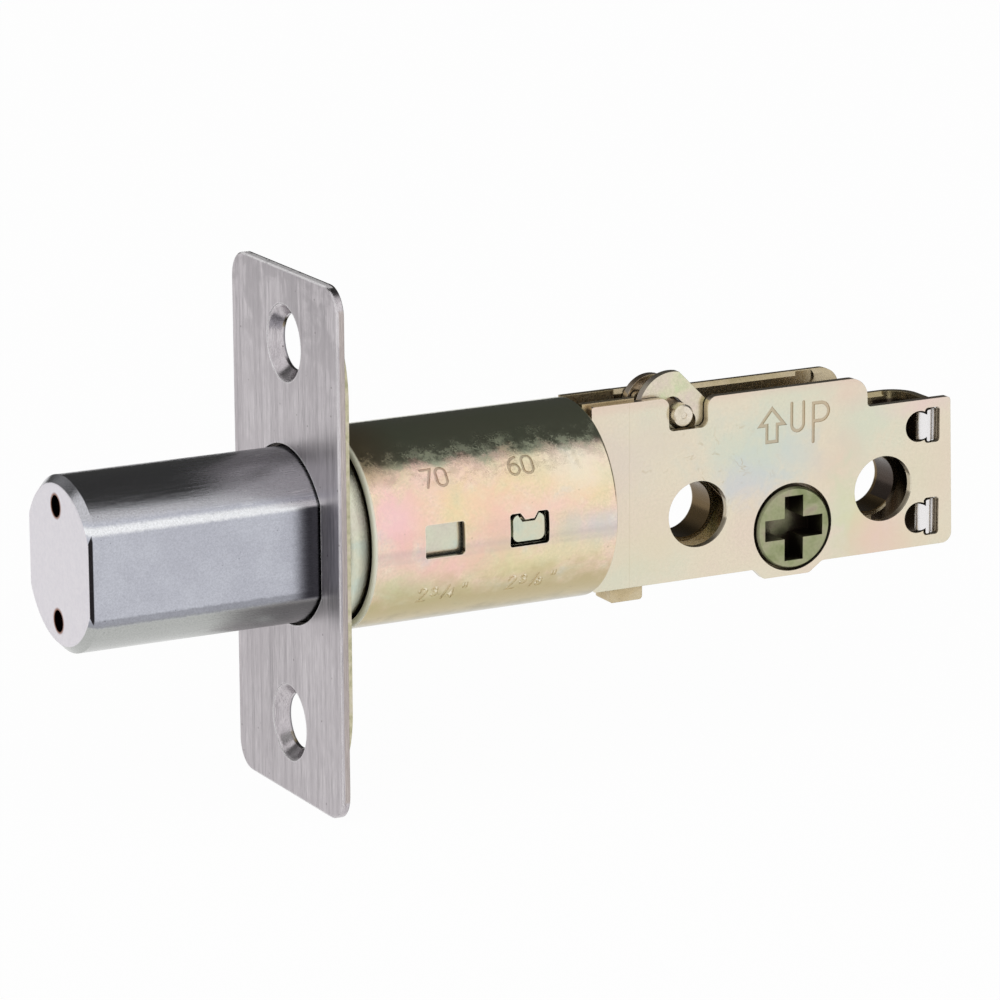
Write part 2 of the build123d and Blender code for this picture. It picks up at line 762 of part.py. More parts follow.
def plate_outline(rear_top):
    """Closed outline of a side plate in the open sketch, its rear end at a given height."""
    corners = (
        ((cap_front, tongue_half_height), 0.4),
        ((cap_front, -tongue_half_height), 0.4),
        ((plate_front, -tongue_half_height), 0),
        ((plate_front, plate_bottom), 0.5),
        ((backset - lip_front_foot, plate_bottom), 0.6),
        ((backset - lip_front, plate_bottom - lip_depth), 0.6),
        ((backset + lip_rear, plate_bottom - lip_depth), 0.8),
        ((backset + lip_rear_foot, plate_bottom), 0.8),
        ((plate_rear + plate_rake, plate_bottom), 1.2),
        ((plate_rear, rear_top), 0.45),
        ((step_rear, rear_top), 0.5),
        ((step_rear, plate_high_top), 2.2),
        ((notch_rear, plate_high_top), 1.1),
        ((notch_rear, notch_floor), 0.8),
        ((notch_front, notch_floor), 0.6),
        ((notch_front, plate_front_top), 1.0),
        ((plate_front, plate_front_top), 0.3),
        ((plate_front, tongue_half_height), 0),
    )
    with BuildLine() as outline:
        FilletPolyline(
            *[point for point, _ in corners],
            radius=[corner for _, corner in corners],
            close=True,
        )
    make_face(outline.line)


with BuildPart() as crimp_cutter:
    with BuildSketch(upright(plate_inner)):
        for low, high in crimp_spans:
            crimp_window(low, high)
    extrude(amount=plate_thickness)
with BuildPart() as near_side_plate:
    with BuildSketch(upright(plate_inner)):
        plate_outline(plate_rear_top)
        with Locations(*screw_passages):
            Circle(screw_passage_diameter / 2, mode=Mode.SUBTRACT)
        with Locations(hub_hole_centre):
            Circle(hub_hole, mode=Mode.SUBTRACT)
    extrude(amount=plate_thickness)
    add(crimp_cutter.part, mode=Mode.SUBTRACT)
    with BuildSketch(upright(plate_outer - mark_depth)):
        with BuildLine():
            Polyline(*[(arrow_x + u, arrow_top + v) for u, v in arrow_outline])
        trace(line_width=plate_stroke)
        for letter, x, z in letters:
            stamp(letter, (x, z), letter_height, plate_stroke)
    extrude(amount=mark_depth, mode=Mode.SUBTRACT)
near_side_plate.part.label = "near_side_plate"
export_step(near_side_plate.part, "parts/near_side_plate.step")

# Far plate: turns across the rear and is crimped through the near plate's windows
wall_inset = 1.85
wall_rear = plate_rear - wall_inset
wall_front = wall_rear - plate_thickness
bend_outer = 3.0
bend_inner = bend_outer - plate_thickness
bend_x = wall_rear - bend_outer
bend_y = plate_outer - bend_outer
far_rear_top = plate_rear_top - far_rear_drop
bend_turn = sin(radians(45))
tab_inset = 0.2
tab_proud = 0.15
tab_overlap = 0.3
tab_foot = plate_inner - tab_overlap
tab_crown = plate_outer + tab_proud
tab_swell = 0.35  # the tab's rolled profile, measured from the rear wall and its crown
tab_shoulder_drop = 0.75
tab_ridge = (0.1, 0.5)
tab_groove = (0.3, 0.65)
tab_crown_back = 1.3
tab_tip = (2.2, 0.8)
band_height = 0.5  # bevel along the far plate's inner upper edges
band_depth = 0.35
dimple_behind_hub = 5.0
dimple_x = backset + dimple_behind_hub
dimple_z = 9.2
dimple_radius = 1.2
dimple_depth = 0.3
with BuildPart() as crimp_tabs:
    with BuildSketch(Plane.XY.offset(crimp_spans[1][0])):
        with BuildLine():
            Polyline(
                (wall_front, -tab_foot),
                (wall_rear + tab_swell, -tab_foot),
                (wall_rear + tab_swell, tab_shoulder_drop - tab_crown),
                (wall_rear - tab_ridge[0], tab_ridge[1] - tab_crown),
                (wall_rear - tab_groove[0], tab_groove[1] - tab_crown),
            )
            ThreePointArc(
                (wall_rear - tab_groove[0], tab_groove[1] - tab_crown),
                (wall_rear - tab_crown_back, -tab_crown),
                (wall_rear - tab_tip[0], tab_tip[1] - tab_crown),
            )
            Line((wall_rear - tab_tip[0], tab_tip[1] - tab_crown), (wall_front, -tab_foot))
        make_face()
    extrude(amount=crimp_spans[0][1] - crimp_spans[1][0])
    with BuildSketch(upright(0)):
        for low, high in crimp_spans:
            crimp_window(low, high, tab_inset)
    extrude(amount=case_width, mode=Mode.INTERSECT)
with BuildPart() as far_side_plate:
    with BuildSketch(upright(-plate_outer)):
        plate_outline(far_rear_top)
        with Locations((bend_x, 0)):
            Rectangle(plate_rear, plate_rear, align=(Align.MIN, Align.CENTER), mode=Mode.SUBTRACT)
        with Locations(hub_hole_centre):
            Circle(hub_hole, mode=Mode.SUBTRACT)
    extrude(amount=plate_thickness)
    for start, end, top in (
        (plate_front, notch_front, plate_front_top),
        (notch_rear, step_rear, plate_high_top),
        (step_rear, bend_x, far_rear_top),
    ):
        with BuildSketch(across(start)):
            with BuildLine():
                Polyline(
                    (plate_inner, top - band_height),
                    (plate_inner, top),
                    (plate_inner + band_depth, top),
                    close=True,
                )
            make_face()
        extrude(amount=end - start, mode=Mode.SUBTRACT)
    with BuildSketch(Plane.XY.offset(plate_bottom)):
        with BuildLine():
            Polyline((bend_x, plate_inner), (bend_x, plate_outer))
            ThreePointArc(
                (bend_x, plate_outer),
                (bend_x + bend_outer * bend_turn, bend_y + bend_outer * bend_turn),
                (wall_rear, bend_y),
            )
            Polyline(
                (wall_rear, bend_y),
                (wall_rear, -plate_inner),
                (wall_front, -plate_inner),
                (wall_front, bend_y),
            )
            ThreePointArc(
                (wall_front, bend_y),
                (bend_x + bend_inner * bend_turn, bend_y + bend_inner * bend_turn),
                (bend_x, plate_inner),
            )
        make_face()
    extrude(amount=far_rear_top - plate_bottom)
    add(crimp_tabs.part)
    with BuildSketch(upright(-plate_inner)):
        with Locations(*screw_passages):
            Circle(far_passage_diameter / 2 + collar_wall)
    extrude(amount=collar_reach)
    with BuildSketch(upright(-plate_outer)):
        with Locations(*screw_passages):
            Circle(far_passage_diameter / 2)
    extrude(amount=plate_thickness + collar_reach, mode=Mode.SUBTRACT)
    with BuildSketch(upright(-plate_inner - dimple_depth)):
        with Locations((dimple_x, dimple_z)):
            Circle(dimple_radius)
    extrude(amount=dimple_depth, mode=Mode.SUBTRACT)
far_side_plate.part.label = "far_side_plate"
export_step(far_side_plate.part, "parts/far_side_plate.step")

# Hub: turned drum with a cross slot in each face for the operating spindle
hub_proud = 0.05
hub_half = plate_outer + hub_proud
hub_chamfer = 0.25
with BuildPart() as hub:
    with BuildSketch(upright(-hub_half)):
        with Locations((backset, hub_height)):
            Circle(hub_radius)
    extrude(amount=2 * hub_half)
    chamfer(hub.edges().filter_by(GeomType.CIRCLE), hub_chamfer)
    for face, depth in ((hub_half, hub_web / 2 - hub_half), (-hub_half, hub_half - hub_web / 2)):
        with BuildSketch(upright(face)):
            with Locations((backset, hub_height)):
                Rectangle(cross_length, cross_width)
                Rectangle(cross_width, cross_length)
        extrude(amount=depth, mode=Mode.SUBTRACT)
hub.part.label = "hub"
export_step(hub.part, "parts/hub.step")

# Crank arms, pressed on the hub, with a slot along each for the pin
arm_eye = 5.3
arm_front_half = 2.6
far_arm_front_half = 2.2
arm_rear_half = 3.46
arm_neck_half = 2.3
arm_neck_under_pin = 1.9
far_arm_rear_half = 2.9
arm_head_beyond_pin = 0.5
near_head_radius = 4.15
far_head_radius = 3.3
far_head_forward = 0.3
arm_slot_half = pin_radius + pin_clearance
arm_slot_beyond_pin = 1.85
arm_slot_corner = 0.9 * arm_slot_half
arm_slot_end_play = 0.2
arm_slot_top = pin_reach + arm_slot_beyond_pin
arm_slot_bottom = pin_back_reach - pin_radius - arm_slot_end_play
arm_neck_top = pin_reach - arm_neck_under_pin
arm_head = pin_reach + arm_head_beyond_pin
arm_corner = arm_head + (near_head_radius**2 - arm_rear_half**2) ** 0.5
with BuildPart() as near_crank_arm:
    with BuildSketch(crank_plane(crank_inner)):
        with Locations((0, arm_head)):
            Circle(near_head_radius)
            with Locations((arm_rear_half, 0)):
                Rectangle(
                    2 * near_head_radius,
                    2 * near_head_radius,
                    align=(Align.MAX, Align.CENTER),
                    mode=Mode.INTERSECT,
                )
        with Locations((-arm_front_half, 0)):
            Rectangle(arm_front_half + arm_neck_half, arm_corner, align=(Align.MIN, Align.MIN))
        with Locations((0, arm_neck_top)):
            Rectangle(arm_rear_half, arm_corner - arm_neck_top, align=(Align.MIN, Align.MIN))
        Circle(arm_eye)
        with BuildLine():
            FilletPolyline(
                (-arm_slot_half, arm_slot_bottom),
                (arm_slot_half, arm_slot_bottom),
                (arm_slot_half, arm_slot_top),
                (-arm_slot_half, arm_slot_top),
                radius=arm_slot_corner,
                close=True,
            )
        make_face(mode=Mode.SUBTRACT)
        Circle(hub_radius, mode=Mode.SUBTRACT)
    extrude(amount=crank_thickness)
near_crank_arm.part.label = "near_crank_arm"
export_step(near_crank_arm.part, "parts/near_crank_arm.step")
with BuildPart() as far_crank_arm:
    with BuildSketch(crank_plane(-crank_outer)):
        with Locations((-far_head_forward, arm_head)):
            Circle(far_head_radius)
        with Locations((-far_arm_front_half, 0)):
            Rectangle(
                far_arm_front_half + far_arm_rear_half,
                arm_head,
                align=(Align.MIN, Align.MIN),
            )
        Circle(arm_eye)
        with BuildLine():
            FilletPolyline(
                (-arm_slot_half, arm_slot_bottom),
                (arm_slot_half, arm_slot_bottom),
                (arm_slot_half, arm_slot_top),
                (-arm_slot_half, arm_slot_top),
                radius=arm_slot_corner,
                close=True,
            )
        make_face(mode=Mode.SUBTRACT)
        Circle(hub_radius, mode=Mode.SUBTRACT)
    extrude(amount=crank_thickness)
far_crank_arm.part.label = "far_crank_arm"
export_step(far_crank_arm.part, "parts/far_crank_arm.step")

# Cross pin: rides in the arms, the yoke and the plates' notch
pin_half = plate_outer + pin_end_proud
pin_chamfer = 0.2
pin_centre_mark = 0.35
with BuildPart() as cross_pin:
    with BuildSketch(upright(-pin_half)):
        with Locations((pin_x, pin_z)):
            Circle(pin_radius)
    extrude(amount=2 * pin_half)
    chamfer(cross_pin.edges().filter_by(GeomType.CIRCLE), pin_chamfer)
    for end in (pin_half, -pin_half):
        with BuildSketch(upright(end)):
            with Locations((pin_x, pin_z)):
                Circle(pin_centre_mark)
        extrude(amount=-mark_depth if end > 0 else mark_depth, mode=Mode.SUBTRACT)
cross_pin.part.label = "cross_pin"
export_step(cross_pin.part, "parts/cross_pin.step")
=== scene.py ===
"""Finishes, light and camera for an adjustable tubular deadbolt latch.

The solids come in as a fixed frame, in metres: +X into the door, +Z up, the
faceplate's front face at x = 0. This script gives every piece its finish and
sets the latch on a pale floor in soft light. Its own lengths are in millimetres.
"""

import logging
from dataclasses import dataclass
from enum import Enum
from functools import cached_property
from math import radians
from typing import Any

import bpy
from mathutils import Matrix, Vector


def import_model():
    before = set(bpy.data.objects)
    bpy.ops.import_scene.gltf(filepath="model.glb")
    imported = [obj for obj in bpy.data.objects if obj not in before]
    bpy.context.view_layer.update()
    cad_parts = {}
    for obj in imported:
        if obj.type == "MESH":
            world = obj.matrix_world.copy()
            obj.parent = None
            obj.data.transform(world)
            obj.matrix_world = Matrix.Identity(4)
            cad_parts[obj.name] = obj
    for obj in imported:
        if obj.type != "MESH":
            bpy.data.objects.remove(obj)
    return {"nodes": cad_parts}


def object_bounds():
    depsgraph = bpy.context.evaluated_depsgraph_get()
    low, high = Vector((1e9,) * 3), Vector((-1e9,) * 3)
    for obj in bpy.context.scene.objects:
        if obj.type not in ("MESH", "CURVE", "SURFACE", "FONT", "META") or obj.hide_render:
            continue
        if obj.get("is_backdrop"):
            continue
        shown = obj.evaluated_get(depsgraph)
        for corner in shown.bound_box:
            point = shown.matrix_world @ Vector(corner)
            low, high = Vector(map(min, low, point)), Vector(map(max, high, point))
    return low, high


LOG = logging.getLogger("latch")
MM = 0.001

Colour = tuple[float, float, float]
Stop = tuple[float, Colour]
Pair = tuple[float, float]
Fade = tuple[float, float, Pair]
Socket = bpy.types.NodeSocket


class Along(Enum):
    """Direction in which a surface's grain, streaks or scratches run."""

    X = (0.04, 1.0, 1.0)
    Z = (1.0, 1.0, 0.03)
    EVEN = (1.0, 1.0, 1.0)


@dataclass(frozen=True)
class Pattern:
    """Smooth noise: its grain's size across its direction, and how it is drawn."""

    grain: float
    along: Along = Along.EVEN
    detail: float = 3.0
    rough: float = 0.55
    warp: float = 0.0


@dataclass(frozen=True)
class Lines:
    """Thin wandering lines: their pattern's grain and direction, and half their width."""

    grain: float
    along: Along
    width: float


@dataclass(frozen=True)
class Pits:
    """Scattered specks: their spacing, and the share of it that one covers."""

    spacing: float
    size: float
    share: float
    hue: Colour


@dataclass(frozen=True)
class Patch:
    """Soft oval of one hue on a piece's near side."""

    x: float
    z: float
    wide: float
    high: float
    hue: Colour
    share: float = 0.6


@dataclass(frozen=True)
class Zone:
    """Region that takes a hue, with a span along X, Y or Z; without a hue, only a mask.

    A span's two numbers say where its mask is 0 and where it is 1. Two more say where
    the mask starts to fall and where it is 0 again.
    """

    hue: Colour | None
    share: float
    x: tuple[float, ...] = ()
    y: tuple[float, ...] = ()
    z: tuple[float, ...] = ()


@dataclass(frozen=True)
class Shadow:
    """Painted shade in crevices, in front of a value of X.

    Surfaces within reach count, and closed and clear are the shares of open directions
    at which the shade is full and gone.
    """

    reach: float
    closed: float
    clear: float
    hue: Colour = (0.06, 0.045, 0.025)
    ahead_of: Pair = (201.0, 200.0)


class Recipe:
    """A node material or world under construction, with its object coordinates.

    The values here are a Mix node's colour sockets, and the levels at which noise turns
    into lines, specks, grain and uneven borders.
    """

    colour_in: tuple[int, int, int] = (0, 6, 7)
    colour_out: int = 2
    quarter_turn: float = 0.25
    edge_lean: Pair = (0.99, 0.86)
    line_core: float = 0.3
    pit_core: float = 0.6
    pit_choice: Pair = (0.62, 0.66)
    break_up: Pattern = Pattern(1.7, detail=2.0)
    break_fade: Pair = (0.5, 0.6)
    patch_edge: Pattern = Pattern(2.6, detail=5.0, rough=0.62, warp=0.5)
    patch_wobble: float = 2.4
    patch_fade: Pair = (2.75, 1.15)
    grain_levels: Fade = (0.3, 0.7, (0.72, 1.2))

    def __init__(self, tree: bpy.types.NodeTree) -> None:
        """Starts from an empty tree.

        Args:
            tree: node tree of a material or a world.
        """
        self.tree = tree
        tree.nodes.clear()

    def add(self, kind: str, **settings: Any) -> bpy.types.Node:
        """Adds a node and sets its properties.

        Args:
            kind: node type without its ShaderNode prefix.
            settings: property names and values.

        Returns:
            The new node.
        """
        node = self.tree.nodes.new("ShaderNode" + kind)
        for key, value in settings.items():
            setattr(node, key, value)
        return node

    def feed(self, node: bpy.types.Node, **values: Any) -> None:
        """Links a node's inputs to other sockets, or sets their constants.

        Args:
            node: the node to fill.
            values: input names, with underscores for spaces, and a socket, number or colour.
        """
        for name, value in values.items():
            self.plug(node.inputs[name.replace("_", " ")], value)

    def plug(self, socket: Socket, value: Any) -> None:
        """Links a socket to another, or sets its constant.

        Args:
            socket: the input to fill.
            value: an output socket, a number, or a colour.
        """
        if isinstance(value, Socket):
            self.tree.links.new(value, socket)
        elif isinstance(value, tuple) and socket.type == "RGBA":
            socket.default_value = (*value, 1.0)
        else:
            socket.default_value = value

    @cached_property
    def place(self) -> Socket:
        """Object coordinates of the surface point, in metres."""
        return self.add("TexCoord").outputs["Object"]

    @cached_property
    def axes(self) -> tuple[Socket, ...]:
        """The surface point's X, Y and Z, in millimetres."""
        scaled = self.add("VectorMath", operation="SCALE")
        self.feed(scaled, Vector=self.place, Scale=1.0 / MM)
        return self.split(scaled.outputs["Vector"])

    def split(self, vector: Socket) -> tuple[Socket, ...]:
        """The three numbers of a vector or colour.

        Args:
            vector: the vector to take apart.

        Returns:
            Its X, Y and Z.
        """
        node = self.add("SeparateXYZ")
        self.feed(node, Vector=vector)
        return tuple(node.outputs)

    def calc(self, operation: str, first: Any, second: Any = 0.0) -> Socket:
        """One step of arithmetic.

        Args:
            operation: name of the math operation.
            first: first number or socket.
            second: second number or socket.

        Returns:
            The result.
        """
        node = self.add("Math", operation=operation)
        self.plug(node.inputs[0], first)
        self.plug(node.inputs[1], second)
        return node.outputs[0]

    def product(self, *values: Any) -> Any:
        """All the values multiplied.

        Args:
            values: numbers or sockets.

        Returns:
            The product.
        """
        result = values[0]
        for value in values[1:]:
            result = self.calc("MULTIPLY", result, value)
        return result

    def distance(self, across: Any, up: Any) -> Socket:
        """Length of an offset: the root of the sum of its squares.

        Args:
            across: the offset's first part.
            up: its second part.

        Returns:
            The length.
        """
        squares = self.calc("ADD", self.product(across, across), self.product(up, up))
        return self.calc("SQRT", squares)

    def noise(self, pattern: Pattern) -> Socket:
        """Smooth random value from 0 to 1.

        Args:
            pattern: the noise's size and character.

        Returns:
            The noise value.
        """
        mapping = self.add("Mapping")
        self.feed(mapping, Vector=self.place, Scale=pattern.along.value)
        node = self.add("TexNoise")
        self.feed(node, Vector=mapping.outputs["Vector"], Scale=1.0 / (pattern.grain * MM))
        self.feed(node, Detail=pattern.detail, Roughness=pattern.rough, Distortion=pattern.warp)
        return node.outputs["Fac"]

    def swing(self, value: Any, size: float) -> Socket:
        """Turns a noise value into an offset on both sides of 0.

        Args:
            value: the noise value.
            size: the offset's whole range.

        Returns:
            The offset.
        """
        return self.product(self.calc("SUBTRACT", value, 0.5), size)

    def fade(self, value: Any, start: float, end: float, out: Pair = (0.0, 1.0)) -> Socket:
        """Runs smoothly from one number to another as a value goes from start to end.

        Args:
            value: the driving value.
            start: value at which the result is the first number.
            end: value at which the result is the second number.
            out: the two numbers.

        Returns:
            The remapped value.
        """
        node = self.add("MapRange", interpolation_type="SMOOTHSTEP")
        self.feed(node, Value=value, From_Min=start, From_Max=end, To_Min=out[0], To_Max=out[1])
        return node.outputs["Result"]

    def span(self, value: Any, ends: tuple[float, ...]) -> Socket:
        """Mask over a stretch of a value.

        Args:
            value: the driving value.
            ends: the span's two or four numbers, as in a Zone.

        Returns:
            The mask.
        """
        mask = self.fade(value, *ends[:2])
        if len(ends) == 4:
            mask = self.product(mask, self.fade(value, ends[3], ends[2]))
        return mask

    def zone(self, zone: Zone, **places: Any) -> Any:
        """Mask of a zone: the product of its spans and its share.

        Args:
            zone: the zone.
            places: values to use in place of X, Y or Z.

        Returns:
            The mask.
        """
        mask = zone.share
        for name, value in zip("xyz", self.axes):
            ends = getattr(zone, name)
            if ends:
                mask = self.product(self.span(places.get(name, value), ends), mask)
        return mask

    def lay(self, colour: Any, zone: Zone, *masks: Any, **places: Any) -> Socket:
        """Lays a zone's hue over a colour.

        Args:
            colour: colour to start from.
            zone: where, how strongly and which hue.
            masks: masks that limit it further.
            places: values to use in place of X, Y or Z.

        Returns:
            The new colour.
        """
        return self.mix(self.product(self.zone(zone, **places), *masks), colour, zone.hue)

    def mix(self, share: Any, first: Any, second: Any, how: str = "MIX") -> Socket:
        """Blends two colours.

        Args:
            share: weight of the second colour.
            first: colour or socket.
            second: colour or socket.
            how: blend mode.

        Returns:
            The blended colour.
        """
        node = self.add("Mix", data_type="RGBA", blend_type=how)
        for place, value in zip(self.colour_in, (share, first, second)):
            self.plug(node.inputs[place], value)
        return node.outputs[self.colour_out]

    def ramp(self, value: Socket, stops: tuple[Stop, ...]) -> Socket:
        """Colour read off a ramp.

        Args:
            value: place on the ramp, from 0 to 1.
            stops: places and colours.

        Returns:
            The colour.
        """
        node = self.add("ValToRGB")
        points = node.color_ramp.elements
        while len(points) < len(stops):
            points.new(0.5)
        for point, (place, colour) in zip(points, stops):
            point.position = place
            point.color = (*colour, 1.0)
        self.feed(node, Fac=value)
        return node.outputs["Color"]

    def pits(self, colour: Any, pits: Pits) -> Socket:
        """Scatters specks over a colour.

        Args:
            colour: colour to start from.
            pits: the specks' size, strength and hue.

        Returns:
            The specked colour.
        """
        node = self.add("TexVoronoi")
        self.feed(node, Vector=self.place, Scale=1.0 / (pits.spacing * MM))
        chosen = self.fade(self.split(node.outputs["Color"])[0], *self.pit_choice)
        near = self.fade(node.outputs["Distance"], pits.size, pits.size * self.pit_core)
        return self.mix(self.product(chosen, near, pits.share), colour, pits.hue)

    def lines(self, lines: Lines) -> Socket:
        """Value of 1 on broken thin lines: the contour at a noise's middle value.

        Args:
            lines: the lines' size, direction and width.

        Returns:
            The line mask.
        """
        drawn = self.noise(Pattern(lines.grain, lines.along, detail=2.0, warp=1.2))
        off = self.calc("ABSOLUTE", self.swing(drawn, 1.0))
        broken = self.fade(self.noise(self.break_up), *self.break_fade)
        return self.product(self.fade(off, lines.width, lines.width * self.line_core), broken)

    def shade(self, colour: Any, shadow: Shadow) -> Socket:
        """Darkens a colour where other surfaces stand close over the point.

        Args:
            colour: colour to start from.
            shadow: the shade's reach and hue.

        Returns:
            The shaded colour.
        """
        node = self.add("AmbientOcclusion", samples=5)
        self.feed(node, Distance=shadow.reach * MM)
        closed = self.fade(node.outputs["AO"], shadow.clear, shadow.closed)
        ahead = self.fade(self.axes[0], *shadow.ahead_of)
        return self.mix(self.product(closed, ahead), colour, shadow.hue)

    def mottled(self, colour: Any, grain: float, share: float, along: Along = Along.EVEN) -> Socket:
        """Fine light and dark grain over a colour: the colour times noise around 1.

        Args:
            colour: colour to start from.
            grain: size of the grain.
            share: how strongly it shows.
            along: direction in which the grain is drawn out.

        Returns:
            The mottled colour.
        """
        level = self.fade(self.noise(Pattern(grain, along, rough=0.6)), *self.grain_levels)
        grey = self.add("CombineColor")
        self.feed(grey, Red=level, Green=level, Blue=level)
        return self.mix(share, colour, grey.outputs["Color"], "MULTIPLY")

    def oval(self, patch: Patch, wobble: Socket) -> Socket:
        """Mask of a soft oval on the near side: length of the offset over its radii.

        Args:
            patch: place, size and strength of the oval.
            wobble: noise that makes its border uneven.

        Returns:
            The mask, from 0 to the patch's share.
        """
        mapping = self.add("Mapping", vector_type="TEXTURE")
        centre = (patch.x * MM, 0.0, patch.z * MM)
        self.feed(mapping, Vector=self.place, Location=centre, Scale=(patch.wide * MM, 1.0, patch.high * MM))
        length = self.add("VectorMath", operation="LENGTH")
        self.feed(length, Vector=mapping.outputs["Vector"])
        uneven = self.calc("ADD", length.outputs["Value"], self.product(wobble, self.patch_wobble))
        return self.fade(uneven, *self.patch_fade, (0.0, patch.share))

    def patches(self, colour: Any, patches: tuple[Patch, ...]) -> Any:
        """Lays soft ovals of other hues over a colour.

        Args:
            colour: colour to start from.
            patches: the ovals, in order.

        Returns:
            The patched colour.
        """
        wobble = self.noise(self.patch_edge)
        for patch in patches:
            colour = self.mix(self.oval(patch, wobble), colour, patch.hue)
        return colour

    def rounded(self, radius: float) -> Socket:
        """Normal that rounds off edges.

        Args:
            radius: radius of the rounding.

        Returns:
            The normal.
        """
        node = self.add("Bevel", samples=4)
        self.feed(node, Radius=radius * MM)
        return node.outputs["Normal"]

    def edges(self, radius: float) -> Socket:
        """Mask along edges: how far the rounded normal leans from the surface's own.

        Args:
            radius: reach of the rounding.

        Returns:
            The mask.
        """
        dot = self.add("VectorMath", operation="DOT_PRODUCT")
        self.plug(dot.inputs[0], self.rounded(radius))
        self.plug(dot.inputs[1], self.add("NewGeometry").outputs["Normal"])
        return self.fade(dot.outputs["Value"], *self.edge_lean)

    def bump(self, height: Any, depth: float, normal: Socket, strength: Any) -> Socket:
        """Normal tilted by a height pattern.

        Args:
            height: height from 0 to 1.
            depth: height of the pattern.
            normal: normal to start from.
            strength: share of the tilt that is kept.

        Returns:
            The tilted normal.
        """
        node = self.add("Bump")
        self.feed(node, Height=height, Distance=depth * MM, Strength=strength, Normal=normal)
        return node.outputs["Normal"]

    def metal(self, colour: Any, roughness: Any, normal: Socket, metallic: Any, grain: float = 0.0) -> None:
        """Finishes the material with a metal surface.

        Args:
            colour: base colour.
            roughness: roughness value or socket.
            normal: surface normal.
            metallic: share of metal, from 0 to 1, or a socket.
            grain: anisotropy of brushed metal.
        """
        shader = self.add("BsdfPrincipled")
        self.feed(shader, Base_Color=colour, Roughness=roughness, Normal=normal, Metallic=metallic)
        if grain:
            tangent = self.add("Tangent", direction_type="RADIAL", axis="X").outputs["Tangent"]
            self.feed(shader, Anisotropic=grain, Anisotropic_Rotation=self.quarter_turn, Tangent=tangent)
        self.finish(shader.outputs["BSDF"])

    def sight(self) -> tuple[Socket, Socket]:
        """Values of 1 for rays seen directly or through glass, and for reflected rays."""
        path = self.add("LightPath")
        direct = self.calc("MAXIMUM", path.outputs["Is Camera Ray"], path.outputs["Is Transmission Ray"])
        return direct, path.outputs["Is Glossy Ray"]

    def finish(self, surface: Socket, kind: str = "OutputMaterial") -> None:
        """Feeds a surface or background to the tree's output.

        Args:
            surface: the shader.
            kind: node type of the output.
        """
        self.feed(self.add(kind), Surface=surface)


def new_recipe(name: str) -> tuple[bpy.types.Material, Recipe]:
    """Starts a material.

    Args:
        name: the material's name.

    Returns:
        The material and its recipe.
    """
    material = bpy.data.materials.new(name)
    material.use_nodes = True
    return material, Recipe(material.node_tree)


SPECK: Colour = (0.14, 0.10, 0.06)
PINK: Colour = (0.93, 0.53, 0.50)
ROSE: Colour = (0.90, 0.60, 0.54)
YELLOW: Colour = (0.88, 0.70, 0.36)
GREEN: Colour = (0.56, 0.66, 0.40)
BLUE: Colour = (0.58, 0.64, 0.72)
PALE: Colour = (0.88, 0.82, 0.70)


def flecks(share: float) -> Pits:
    """Brown specks of a plated surface, as strong as the share."""
    return Pits(1.5, 0.09, share, SPECK)


class Finish:
    """What a piece is dressed in."""

    def make(self) -> bpy.types.Material:
        """Builds the material."""
        raise NotImplementedError


